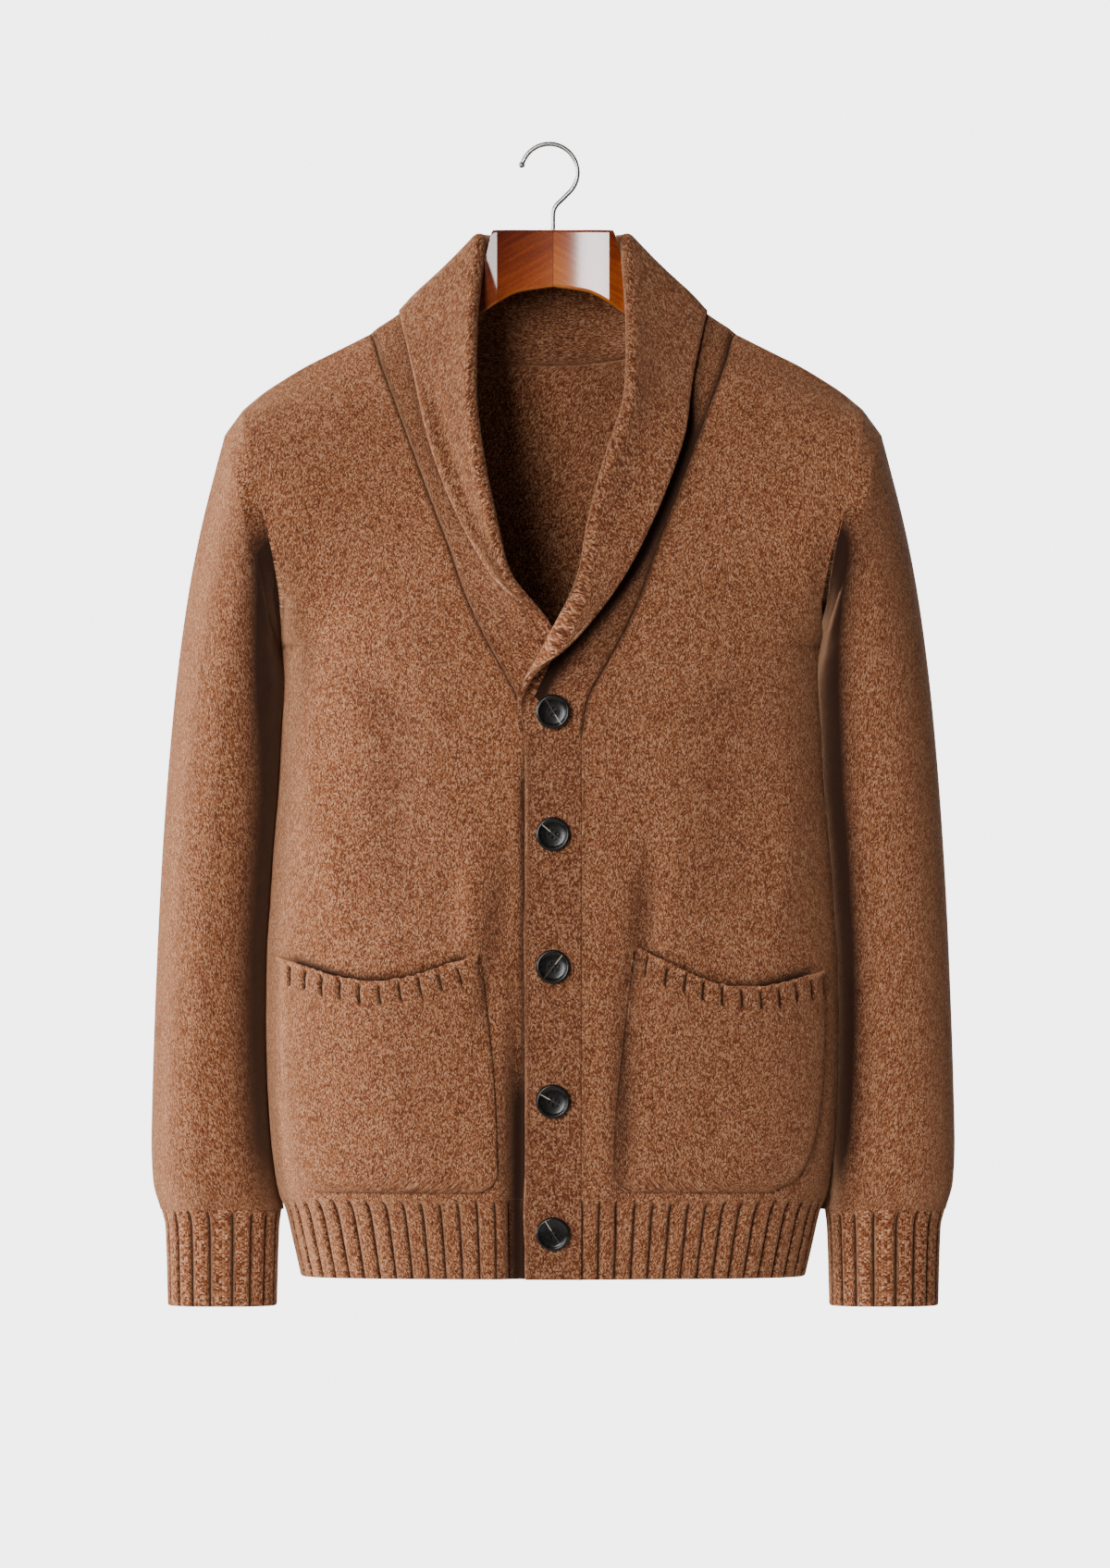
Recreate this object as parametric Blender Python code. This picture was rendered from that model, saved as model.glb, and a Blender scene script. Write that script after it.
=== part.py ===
"""Shawl collar cardigan on a wooden hanger, as separate sewn pieces.

Metres, +Z up. The front faces -Y, and the wearer's left is +X. The origin is the inner top of the
hanger's hook. Sizes in the tables are millimetres.
"""

from collections import namedtuple
from math import cos, exp, pi, radians, sin

import bmesh
import bpy
from mathutils import Vector

MM = 0.001

# Driving dimensions, in millimetres
CLOTH = 3.0               # single knit wall of fronts, back and sleeves
RIB_CLOTH = 3.6           # hem and cuff ribbing, at a rib's crest
COLLAR_CLOTH = 4.0        # double knit collar and button bands
SEAM_GAP = 0.3            # between two pieces at their seam
HEM_SEAM_Z = -767.0       # where the hem ribbing starts
HEM_Z = -825.4
CUFF_SEAM_Z = -777.0
CUFF_Z = -847.7
RIB_DEPTH = 1.7           # how deep the groove between two ribs is
HEM_RIBS = 17             # on each front, and on each half of the back
CUFF_RIBS = 18
SLEEVE_GAP = 1.8          # from a sleeve to the body's side
ROLL_RADIUS = 4.0         # of the collar's fold, to the middle of its cloth
FALL_REST = 6.4           # from the stand to the collar's free edge, middle to middle
SETTLED_FALL = 20.0       # a fall shorter than this stands further off
UNDERARM_Z = -366.0
SHOULDER_TIP_Z = -192.0
ARMHOLE_DEPTH = 58.0      # half of the armhole's front to back size
BAND_HALF_WIDTH = 20.3
BAND_TOP_Z = -432.0       # the bands run straight below this, the collar bends away above it
BAND_CLOTH = 4.0
BAND_LIFT = 4.6           # how far the buttonhole band lies in front of the button band
BAND_LIFT_REACH = 50.0    # the left front eases back over this width
NECK_POINT = (134.0, -137.5)
BACK_NECK_DEPTH = 72.0
BACK_NECK_Z = -158.0
SECTION_POWER = 2.5       # how square the body's level sections are
ARMHOLE_POWER = 1.15      # the same where a section meets the armhole
UNDERARM_LEAN = 0.6
POCKET_RIBS = 11          # along a pocket's mouth
POCKET_RIB_RISE = 0.8     # of a rib's crest above the pocket, and of its groove below
POCKET_STANDOFF = 0.8     # from the front to the pocket, where it is sewn on
MOUTH_OPENING = 2.6       # how much further off the pocket's mouth stands at its middle
WIRE_RADIUS = 1.7         # of the hook

FRONT_COLUMNS = 12
SHOULDER_COLUMNS = 5      # of the back, on each side
NECK_COLUMNS = 6          # of the back, on each side of its centre
ARMHOLE_ROWS = 9
FINE_STEPS = 240          # of a path that points are measured along
BODY_ROWS_Z = (-767.0, -748.0, -715.0, -675.0, -635.0, -595.0, -552.0, -510.0, -470.0, -432.0,
               -410.0, -388.0)

BodySection = namedtuple("BodySection", "z half_width front_depth back_depth")
BODY_SECTIONS = (
    BodySection(-366, 198.3, 92.0, 92.0),
    BodySection(-400, 198.6, 96.5, 93.0),
    BodySection(-432, 199.8, 98.0, 93.0),
    BodySection(-470, 201.6, 98.5, 92.0),
    BodySection(-510, 204.8, 99.0, 91.0),
    BodySection(-552, 207.4, 100.0, 91.0),
    BodySection(-595, 209.8, 101.0, 91.5),
    BodySection(-635, 210.0, 102.0, 92.0),
    BodySection(-675, 209.2, 102.0, 92.0),
    BodySection(-715, 207.0, 101.0, 91.0),
    BodySection(-748, 203.4, 98.5, 89.0),
    BodySection(-767, 199.6, 95.5, 86.5),
    BodySection(-776, 195.6, 92.5, 84.0),
    BodySection(-799, 190.2, 88.5, 81.0),
    BodySection(-826, 184.0, 85.0, 78.0),
)

SeamPoint = namedtuple("SeamPoint", "z x depth")
FRONT_SEAM = (
    SeamPoint(-137.5, 134.0, 0.0),
    SeamPoint(-150.0, 129.6, 15.0),
    SeamPoint(-174.0, 120.4, 32.0),
    SeamPoint(-207.0, 108.2, 48.5),
    SeamPoint(-251.5, 92.0, 65.0),
    SeamPoint(-296.0, 75.2, 78.0),
    SeamPoint(-326.5, 64.6, 85.0),
    SeamPoint(-356.0, 51.4, 90.0),
    SeamPoint(-382.0, 37.2, 94.0),
    SeamPoint(-406.0, 25.2, 96.7),
    SeamPoint(-432.0, 20.6, 98.0),
)

ArmholePoint = namedtuple("ArmholePoint", "z x")
ARMHOLE = (
    ArmholePoint(-192, 226.0),
    ArmholePoint(-215, 224.0),
    ArmholePoint(-240, 219.5),
    ArmholePoint(-268, 212.0),
    ArmholePoint(-299, 204.5),
    ArmholePoint(-333, 199.8),
    ArmholePoint(-366, 198.3),
)

RidgePoint = namedtuple("RidgePoint", "x z")
SHOULDER_RIDGE = (
    RidgePoint(134.0, -137.5),
    RidgePoint(159.0, -150.0),
    RidgePoint(180.0, -160.5),
    RidgePoint(196.0, -170.0),
    RidgePoint(212.0, -180.5),
    RidgePoint(226.0, -192.0),
)

# The collar's fold, by the height of the seam that each section starts from. x, over_fall and over_lift
# are for the wearer's left, which lies over the right; under_x, fall and under_turn are the right side's.
CollarSection = namedtuple("CollarSection",
                           "z x under_x y roll_z arc under_arc turn under_turn over_fall fall sag over_lift")
COLLAR_SECTIONS = (
    CollarSection(-432.0, -15.6, -15.6, -96.0, -432.0, 3.0, 3.0, 0, 0, 2.0, 2.0, 0.0, 4.6),
    CollarSection(-410.0, -14.0, -8.0, -95.1, -408.0, 5.0, 4.0, 60, 0, 2.0, 2.0, 0.0, 6.5),
    CollarSection(-388.0, -2.5, 2.0, -94.7, -385.0, 10.0, 6.0, 120, 0, 3.0, 2.0, 0.0, 9.5),
    CollarSection(-366.0, 7.0, 6.0, -95.2, -362.0, 15.0, 7.0, 165, 20, 6.0, 3.0, 0.0, 10.5),
    CollarSection(-341.0, 18.5, 23.0, -95.0, -334.0, 14.0, 13.0, 180, 150, 15.0, 4.5, 0.5, 6.0),
    CollarSection(-326.5, 23.5, 33.0, -94.0, -318.0, 13.0, 12.6, 180, 180, 22.0, 7.5, 1.0, 2.0),
    CollarSection(-296.0, 28.5, 43.0, -88.0, -282.0, 12.6, 12.6, 180, 180, 36.0, 18.0, 1.5, 0.0),
    CollarSection(-251.5, 41.5, 53.5, -77.0, -231.0, 12.6, 12.6, 180, 180, 45.0, 31.0, 3.0, 0.0),
    CollarSection(-207.0, 56.5, 59.5, -58.0, -178.5, 12.6, 12.6, 180, 180, 46.5, 41.5, 5.0, 0.0),
    CollarSection(-174.0, 57.0, 59.0, -34.0, -134.0, 12.6, 12.6, 180, 180, 54.5, 52.0, 7.0, 0.0),
    CollarSection(-137.5, 53.0, 53.0, 3.0, -74.0, 12.6, 12.6, 180, 180, 78.0, 78.0, 9.0, 0.0),
)
BACK_ROLL_Y = 52.0
BACK_ROLL_Z = -70.0
BACK_FALL = 80.0

# A sleeve's rings, from the armhole to the cuff. A ring is level where its two heights are the same;
# tuck is how far it would reach into the body's side, where it is pressed flat instead.
SleeveRing = namedtuple("SleeveRing", "outer_x outer_z inner_z half_depth middle_y tuck")
SLEEVE_RINGS = (
    SleeveRing(240.0, -211.0, -369.0, 60.0, 3.0, -4.0),
    SleeveRing(247.2, -238.0, -375.0, 61.0, 6.0, -1.0),
    SleeveRing(256.3, -274.0, -383.0, 61.0, 9.0, 5.0),
    SleeveRing(264.4, -313.0, -394.0, 61.0, 12.0, 9.0),
    SleeveRing(270.9, -354.0, -408.0, 60.5, 14.0, 11.0),
    SleeveRing(276.0, -395.0, -426.0, 60.0, 16.0, 11.0),
    SleeveRing(280.2, -438.0, -448.0, 59.5, 17.0, 12.0),
    SleeveRing(283.8, -483.0, -483.0, 58.5, 18.0, 12.0),
    SleeveRing(286.9, -531.0, -531.0, 57.0, 18.0, 11.0),
    SleeveRing(289.4, -580.0, -580.0, 55.0, 18.0, 10.0),
    SleeveRing(291.5, -632.0, -632.0, 53.0, 18.0, 9.0),
    SleeveRing(293.2, -684.0, -684.0, 51.0, 18.0, 8.0),
    SleeveRing(294.1, -728.0, -728.0, 49.0, 18.0, 6.0),
    SleeveRing(292.9, -756.0, -756.0, 46.5, 18.0, 3.0),
    SleeveRing(287.5, CUFF_SEAM_Z + SEAM_GAP / 2, CUFF_SEAM_Z + SEAM_GAP / 2, 40.0, 18.0, -1.3),
)

CuffRing = namedtuple("CuffRing", "z inner_x outer_x half_depth")
CUFF_RINGS = (
    CuffRing(CUFF_SEAM_Z - SEAM_GAP / 2, 198.6, 287.0, 39.6),
    CuffRing(-790.0, 200.2, 284.0, 36.6),
    CuffRing(CUFF_Z, 202.0, 282.2, 34.5),
)

# A fold runs from its top to its foot; height is how far it stands out, and a trough's is negative
Fold = namedtuple("Fold", "top_x top_z foot_x foot_z width height")
FRONT_FOLDS = (
    Fold(-34, -600, -40, -770, 11, -5.0),
    Fold(-52, -545, -56, -590, 9, 3.0),
    Fold(67, -500, 62, -580, 12, 3.5),
    Fold(42, -610, 40, -740, 10, -4.0),
    Fold(150, -385, 96, -420, 12, -2.5),
    Fold(-150, -385, -96, -425, 12, -2.5),
    Fold(-178, -430, -150, -560, 13, 2.5),
    Fold(178, -440, 160, -570, 13, 2.5),
)
BACK_FOLDS = (
    Fold(-60, -300, -30, -640, 20, -4.0),
    Fold(70, -330, 52, -700, 20, -3.5),
    Fold(150, -390, 110, -520, 15, -3.0),
    Fold(-150, -390, -112, -540, 15, -3.0),
    Fold(5, -560, 0, -760, 24, 4.0),
)


# A pocket's rows, from its mouth to its foot, between its two sides; sag is how far the middle of a row
# lies under its ends, open is its share of the mouth's opening, and rib is 1 where it is ribbed
PocketRow = namedtuple("PocketRow", "inner_x inner_z outer_x outer_z sag open rib")
POCKET_RIGHT = (
    PocketRow(56.0, -590.0, 198.0, -591.0, 21.0, 1.0, 1),
    PocketRow(51.5, -606.0, 198.0, -607.0, 21.0, 1.0, 1),
    PocketRow(51.0, -608.5, 198.0, -609.5, 20.5, 1.0, 0),
    PocketRow(47.0, -635.0, 198.0, -637.0, 10.0, 0.7, 0),
    PocketRow(43.2, -675.0, 196.9, -675.0, 2.0, 0.3, 0),
    PocketRow(41.2, -715.0, 193.2, -715.0, 0.0, 0.0, 0),
    PocketRow(40.5, -748.0, 186.0, -748.0, 0.0, 0.0, 0),
    PocketRow(43.5, -756.0, 180.0, -756.0, 0.0, 0.0, 0),
    PocketRow(52.0, -762.0, 168.0, -762.0, 0.0, 0.0, 0),
)
POCKET_LEFT = (
    PocketRow(58.0, -583.0, 195.0, -601.5, 23.0, 1.0, 1),
    PocketRow(56.0, -599.0, 195.6, -617.5, 23.0, 1.0, 1),
    PocketRow(55.8, -601.5, 195.6, -620.0, 22.5, 1.0, 0),
    PocketRow(51.5, -632.0, 195.8, -643.0, 10.0, 0.7, 0),
    PocketRow(46.6, -675.0, 194.6, -675.0, 3.0, 0.3, 0),
    PocketRow(43.0, -715.0, 190.4, -715.0, 0.0, 0.0, 0),
    PocketRow(42.6, -748.0, 179.0, -748.0, 0.0, 0.0, 0),
    PocketRow(45.6, -755.5, 170.0, -756.0, 0.0, 0.0, 0),
    PocketRow(52.0, -761.5, 155.0, -762.0, 0.0, 0.0, 0),
)

# Each button's middle, and how far it is tipped back at its head
Button = namedtuple("Button", "z back_y tip")
BUTTONS = (
    Button(-413.7, -104.6, 0.0),
    Button(-502.3, -104.2, 0.0),
    Button(-598.3, -106.2, -1.0),
    Button(-695.6, -106.6, 1.0),
    Button(-791.6, -94.8, 9.5),
)
# A button's turned profile: how far out, and how far in front of its back
BUTTON_PROFILE = ((11.4, 0.0), (12.5, 1.2), (12.3, 2.8), (11.2, 3.9), (9.8, 3.9), (8.6, 2.9), (4.0, 2.5))

# The wooden hanger, from its middle to the end of an arm
WoodStation = namedtuple("WoodStation", "x top bottom half_depth")
WOOD_STATIONS = (
    WoodStation(0.0, -61.3, -103.0, 11.0),
    WoodStation(25.0, -61.3, -107.0, 11.0),
    WoodStation(44.0, -61.6, -117.0, 11.0),
    WoodStation(47.5, -72.0, -119.5, 11.0),
    WoodStation(51.0, -85.0, -122.0, 10.5),
    WoodStation(55.0, -97.0, -125.0, 9.0),
    WoodStation(62.0, -105.5, -130.0, 8.0),
    WoodStation(76.0, -122.0, -142.0, 8.0),
    WoodStation(96.0, -138.5, -156.0, 8.0),
    WoodStation(122.0, -147.0, -170.0, 7.5),
    WoodStation(159.0, -157.5, -184.0, 7.0),
    WoodStation(180.0, -167.8, -194.0, 7.0),
    WoodStation(196.0, -176.8, -202.0, 7.0),
    WoodStation(205.0, -185.0, -205.0, 6.5),
    WoodStation(210.0, -191.0, -204.0, 5.0),
)
WOOD_SIDES = 12

HOOK_CENTRE = (-2.7, -19.0)      # of the hook's round part, x and z
HOOK_RADIUS = 20.7               # of the wire's middle
HOOK_TIP_ANGLE = 159.0
HOOK_FOOT_ANGLE = -50.0
HOOK_BEND = ((7.2, -38.4), (3.2, -42.0), (0.9, -45.2), (0.0, -49.0), (0.0, -61.0))
HOOK_BALL_RADIUS = 2.5


def clear_scene():
    for old in list(bpy.data.objects):
        bpy.data.objects.remove(old, do_unlink=True)


def material(name, colour, roughness, metallic=0.0):
    made = bpy.data.materials.new(name)
    made.use_nodes = True
    shader = made.node_tree.nodes["Principled BSDF"]
    shader.inputs["Base Color"].default_value = (*colour, 1.0)
    shader.inputs["Roughness"].default_value = roughness
    shader.inputs["Metallic"].default_value = metallic
    made.diffuse_color = (*colour, 1.0)
    return made


def read_table(rows, key, value, at):
    """A column's smooth value where the key column is `at`, with no overshoot between its rows."""
    pairs = sorted((getattr(row, key), getattr(row, value)) for row in rows)
    keys = [pair[0] for pair in pairs]
    values = [pair[1] for pair in pairs]
    at = min(max(at, keys[0]), keys[-1])
    last = len(keys) - 1
    rises = [(values[k + 1] - values[k]) / (keys[k + 1] - keys[k]) for k in range(last)]

    def slope(k):
        if k == 0:
            return rises[0]
        if k == last:
            return rises[-1]
        before, after = rises[k - 1], rises[k]
        return 0.0 if before * after <= 0 else 2 * before * after / (before + after)

    k = max(i for i in range(last) if keys[i] <= at)
    span = keys[k + 1] - keys[k]
    t = (at - keys[k]) / span
    return ((1 + 2 * t) * (1 - t) ** 2 * values[k] + t * (1 - t) ** 2 * span * slope(k)
            + t * t * (3 - 2 * t) * values[k + 1] + t * t * (t - 1) * span * slope(k + 1))


def mix(a, b, t):
    return a + (b - a) * t


def ease(t):
    t = min(max(t, 0.0), 1.0)
    return t * t * (3 - 2 * t)


def add_mesh(name, points, faces, finish, smooth=True):
    """An object from points in millimetres, with its faces turned outwards."""
    mesh = bpy.data.meshes.new(name)
    mesh.from_pydata([tuple(point * MM) for point in points], [], faces)
    shape = bmesh.new()
    shape.from_mesh(mesh)
    bmesh.ops.recalc_face_normals(shape, faces=shape.faces)
    shape.to_mesh(mesh)
    shape.free()
    mesh.materials.append(finish)
    if smooth:
        mesh.shade_smooth()
        mesh.set_sharp_from_angle(angle=radians(50))
    made = bpy.data.objects.new(name, mesh)
    bpy.context.scene.collection.objects.link(made)
    return made


def split(points, corners):
    """Two triangles for four corners, cut along the shorter diagonal."""
    a, b, c, d = corners
    if (points[a] - points[c]).length <= (points[b] - points[d]).length:
        return [(a, b, c), (a, c, d)]
    return [(a, b, d), (b, c, d)]


def wall_solid(name, outer, inner, finish, closed=False):
    """A closed wall between two grids of points; a closed one joins its last column to its first.

    Both skins are cut along the same diagonals, so that a twisted wall stays as thick as it is.
    """
    rows, columns = len(outer), len(outer[0])
    points = [point for grid in (outer, inner) for row in grid for point in row]
    skin = rows * columns
    spans = columns if closed else columns - 1

    def at(row, column):
        return row * columns + column % columns

    faces = []
    for row in range(rows - 1):
        for column in range(spans):
            corners = (at(row, column), at(row, column + 1), at(row + 1, column + 1), at(row + 1, column))
            for face in split(points, corners):
                faces += [face, tuple(corner + skin for corner in reversed(face))]
    edges = [(at(0, k), at(0, k + 1)) for k in range(spans)]
    edges += [(at(rows - 1, k + 1), at(rows - 1, k)) for k in range(spans)]
    if not closed:
        edges += [(at(k + 1, 0), at(k, 0)) for k in range(rows - 1)]
        edges += [(at(k, columns - 1), at(k + 1, columns - 1)) for k in range(rows - 1)]
    for a, b in edges:
        faces += split(points, (b, a, a + skin, b + skin))
    return add_mesh(name, points, faces, finish)


def grid_normals(grid, outwards, closed=False):
    """Unit normals of a grid of points, on the side that the vector `outwards` shows mid grid."""
    rows, columns = len(grid), len(grid[0])

    def across(row, column):
        if closed:
            return grid[row][(column + 1) % columns] - grid[row][column - 1]
        return grid[row][min(column + 1, columns - 1)] - grid[row][max(column - 1, 0)]

    def along(row, column):
        return grid[min(row + 1, rows - 1)][column] - grid[max(row - 1, 0)][column]

    normals = [[across(row, column).cross(along(row, column)).normalized() for column in range(columns)]
               for row in range(rows)]
    if normals[rows // 2][columns // 2].dot(outwards) < 0:
        normals = [[-normal for normal in row] for row in normals]
    return normals


def moved(grid, normals, distance):
    return [[point + normal * distance for point, normal in zip(row, turns)]
            for row, turns in zip(grid, normals)]


def fold_height(folds, x, z):
    """How far the folds lift the cloth at a place seen from the front."""
    height = 0.0
    for fold in folds:
        run = Vector((fold.foot_x - fold.top_x, fold.foot_z - fold.top_z))
        place = Vector((x - fold.top_x, z - fold.top_z))
        t = min(max(place.dot(run) / run.length_squared, 0.0), 1.0)
        off = (place - run * t).length / fold.width
        height += fold.height * exp(-off * off) * sin(pi * (0.1 + 0.8 * t))
    return height


def armhole_point(turn, side):
    """A point of the armhole loop: turn 0 is the shoulder tip and pi the underarm; side -1 is the front."""
    middle = (SHOULDER_TIP_Z + UNDERARM_Z) / 2
    half = (SHOULDER_TIP_Z - UNDERARM_Z) / 2
    z = middle + half * cos(turn)
    return Vector((read_table(ARMHOLE, "z", "x", z), side * ARMHOLE_DEPTH * sin(turn), z))


def armhole_normal(turn, side):
    """Out of the armhole loop; near the underarm it leans away from the body, along the mitre."""
    half = (SHOULDER_TIP_Z - UNDERARM_Z) / 2
    across = Vector((0, side * sin(turn) / ARMHOLE_DEPTH, cos(turn) / half)).normalized()
    across.x = UNDERARM_LEAN * max(0.0, -cos(turn)) ** 5
    return across.normalized()


def armhole_axis(turn, side):
    """Square to the seam, from the body into the sleeve."""
    step = 0.02
    tangent = armhole_point(turn + step, side) - armhole_point(turn - step, side)
    axis = tangent.cross(armhole_normal(turn, side)).normalized()
    return axis if axis.x > 0 else -axis


def body_value(name, z):
    return read_table(BODY_SECTIONS, "z", name, z)


def body_half_width_at(y, z):
    """How far out the body's side reaches at depth y, on a level section."""
    depth = body_value("front_depth" if y < 0 else "back_depth", z)
    reach = min(abs(y) / depth, 1.0)
    return body_value("half_width", z) * (1 - reach ** SECTION_POWER) ** (1 / SECTION_POWER)


def places_along(path, fractions):
    """Points at fractions of a path's length."""
    lengths = [0.0]
    for a, b in zip(path, path[1:]):
        lengths.append(lengths[-1] + (b - a).length)
    points = []
    for fraction in fractions:
        target = fraction * lengths[-1]
        k = max(i for i in range(len(path) - 1) if lengths[i] <= target + 1e-9)
        t = (target - lengths[k]) / (lengths[k + 1] - lengths[k])
        points.append(path[k].lerp(path[k + 1], t))
    return points


def row_points(start, end, power, fractions, top_shape=None, top_share=0.0):
    """Points of one row of a panel, from its side to its centre, at fractions of its length.

    The row rounds forwards from `start`, and `top_shape` is what it follows near the shoulder.
    """
    fullness = (1 - (end.x / start.x) ** SECTION_POWER) ** (1 / power)
    path = []
    for k in range(FINE_STEPS + 1):
        x = mix(start.x, end.x, 1 - cos(k / FINE_STEPS * pi / 2))
        bulge = (1 - min(x / start.x, 1.0) ** SECTION_POWER) ** (1 / power) / fullness
        if top_shape:
            bulge = mix(bulge, top_shape(x), top_share)
        y = mix(start.y, end.y, bulge)
        path.append(Vector((x, y, mix(start.z, end.z, (start.x - x) / (start.x - end.x)))))
    return places_along(path, fractions)


def set_seam_normals(normals, rows_up, side, column=0, hand=1):
    """Square the wall's edges to their seams, so that neighbours meet face to face."""
    for row in normals[:len(normals) - rows_up]:
        row[column].y = 0.0
        row[column].normalize()
    for step in range(rows_up):
        turn = pi * (1 - step / (rows_up - 1))
        normal = armhole_normal(turn, side)
        normal.x *= hand
        normals[len(normals) - rows_up + step][column] = normal


def ridge_normal(x):
    near = max(x - 2.0, SHOULDER_RIDGE[0].x)
    far = min(x + 2.0, SHOULDER_RIDGE[-1].x)
    fall = read_table(SHOULDER_RIDGE, "x", "z", near) - read_table(SHOULDER_RIDGE, "x", "z", far)
    return Vector((fall, 0.0, far - near)).normalized()


def armhole_edge(turn, side):
    """The body's side of the armhole seam."""
    point = armhole_point(turn, side) - armhole_axis(turn, side) * (SEAM_GAP / 2)
    if abs(point.y) < SEAM_GAP / 2:
        point.y = side * SEAM_GAP / 2
    return point


def upper_power(share):
    """How a row above the underarm rounds away from its armhole, by its share of the way up."""
    return mix(ARMHOLE_POWER, SECTION_POWER, ease(1 - share / 0.35))


def front_grid(hand):
    """Outer points and normals of one front; hand is 1 for the wearer's left and -1 for the right."""
    fractions = [k / FRONT_COLUMNS for k in range(FRONT_COLUMNS + 1)]
    rows = []
    for z in BODY_ROWS_Z:
        width = body_value("half_width", z)
        start = Vector((width, -SEAM_GAP / 2, z))
        end_x = read_table(FRONT_SEAM, "z", "x", z) if z > BAND_TOP_Z else FRONT_SEAM[-1].x
        fullness = (1 - (end_x / width) ** SECTION_POWER) ** (1 / SECTION_POWER)
        end = Vector((end_x, -body_value("front_depth", z) * fullness, z))
        rows.append(row_points(start, end, SECTION_POWER, fractions))
    for step in range(ARMHOLE_ROWS + 1):
        turn = pi * (1 - step / ARMHOLE_ROWS)
        z = mix(UNDERARM_Z, NECK_POINT[1], step / ARMHOLE_ROWS)
        x, depth = (read_table(FRONT_SEAM, "z", column, z) for column in ("x", "depth"))
        start = armhole_edge(turn, -1)
        end = Vector((x, -max(depth, SEAM_GAP / 2), z))
        rows.append(row_points(start, end, upper_power(step / ARMHOLE_ROWS), fractions))
    for column, point in enumerate(rows[-1]):
        if column:
            point.z = read_table(SHOULDER_RIDGE, "x", "z", point.x)
            point.y = -SEAM_GAP / 2
    for row_number, row in enumerate(rows[:-1]):
        for column, point in enumerate(row[1:-1], 1):
            calm = ease(column / 2) * ease((FRONT_COLUMNS - column) / 2)
            point.y -= calm * fold_height(FRONT_FOLDS, hand * point.x, point.z)
    if hand > 0:
        for row in rows:
            for point in row:
                point.y -= band_lift(point.x, point.z)
    normals = grid_normals(rows, Vector((0, -1, 0)))
    set_seam_normals(normals, ARMHOLE_ROWS + 1, -1)
    for column in range(1, FRONT_COLUMNS + 1):
        normals[-1][column] = ridge_normal(rows[-1][column].x)
    for row, z in zip(normals, BODY_ROWS_Z):
        if z <= BAND_TOP_Z:
            row[-1].x = 0.0
            row[-1].normalize()
    return rows, normals


def band_lift(x, z):
    """How far the left front is lifted by the bands that lie over each other."""
    low = ease((-350.0 - z) / 50.0)
    return BAND_LIFT * low * ease(1 - (abs(x) - BAND_HALF_WIDTH) / BAND_LIFT_REACH)


def below_neck_shape(x):
    """How the back's rows near the neckline round over the shoulder, from 0 at the side to 1."""
    return max(0.0, 1 - (x / 170.0) ** 3) ** 1.3


def back_half():
    """Outer points of half of the back, from its side to its centre."""
    shoulder_share = 0.4
    fractions = [shoulder_share * k / SHOULDER_COLUMNS for k in range(SHOULDER_COLUMNS)]
    fractions += [mix(shoulder_share, 1.0, k / NECK_COLUMNS) for k in range(NECK_COLUMNS + 1)]
    rows = []
    for z in BODY_ROWS_Z:
        start = Vector((body_value("half_width", z), SEAM_GAP / 2, z))
        end = Vector((0, body_value("back_depth", z), z))
        rows.append(row_points(start, end, SECTION_POWER, fractions))
    for step in range(ARMHOLE_ROWS):
        share = step / ARMHOLE_ROWS
        start = armhole_edge(pi * (1 - share), 1)
        depth = mix(body_value("back_depth", UNDERARM_Z), BACK_NECK_DEPTH, share ** 2)
        end = Vector((0, depth, mix(UNDERARM_Z, BACK_NECK_Z, share)))
        top_share = 1 - (1 - max(0.0, 2 * share - 1) ** 2) ** 0.5
        rows.append(row_points(start, end, upper_power(share), fractions, below_neck_shape, top_share))
    top = back_top_row()
    for step, row in enumerate(rows[-ARMHOLE_ROWS:]):
        for point, fraction, above in zip(row, fractions, top):
            rise = above.z - mix(top[0].z, top[-1].z, fraction)
            point.z += rise * (step / ARMHOLE_ROWS) ** 2
    rows.append(top)
    return rows


def back_grid():
    """Outer points and normals of the back, from the left side to the right."""
    rows = [row + [Vector((-point.x, point.y, point.z)) for point in row[-2::-1]] for row in back_half()]
    last = len(rows[0]) - 1
    for row in rows[1:-1]:
        for column, point in enumerate(row[1:-1], 1):
            calm = ease(column / 3) * ease((last - column) / 3)
            point.y += calm * fold_height(BACK_FOLDS, point.x, point.z)
    normals = grid_normals(rows, Vector((0, 1, 0)))
    for column, hand in ((0, 1), (last, -1)):
        set_seam_normals(normals, ARMHOLE_ROWS + 1, 1, column, hand)
    for column in range(1, SHOULDER_COLUMNS + 1):
        for place in (column, last - column):
            normals[-1][place] = ridge_normal(abs(rows[-1][place].x))
            normals[-1][place].x *= 1 if rows[-1][place].x > 0 else -1
    return rows, normals


def back_top_row():
    """The shoulder seam, then the back neckline to its centre."""
    row = [armhole_edge(0.0, 1)]
    for k in range(1, SHOULDER_COLUMNS + 1):
        x = mix(row[0].x, NECK_POINT[0], k / SHOULDER_COLUMNS)
        row.append(Vector((x, SEAM_GAP / 2, read_table(SHOULDER_RIDGE, "x", "z", x))))
    shares = [k / NECK_COLUMNS for k in range(1, NECK_COLUMNS + 1)]
    for share, (x, y) in zip(shares, neckline_places(shares)):
        row.append(Vector((x, y, mix(NECK_POINT[1], BACK_NECK_Z, ease(share)))))
    return row


def neckline_places(shares):
    """Places on the back neckline, seen from above, at shares of its length."""
    path = []
    for k in range(FINE_STEPS + 1):
        x = NECK_POINT[0] * (1 - k / FINE_STEPS)
        path.append(Vector((x, BACK_NECK_DEPTH * (1 - (x / NECK_POINT[0]) ** 2))))
    return places_along(path, shares)


def mirrored(grid):
    return [[Vector((-point.x, point.y, point.z)) for point in row] for row in grid]


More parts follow.
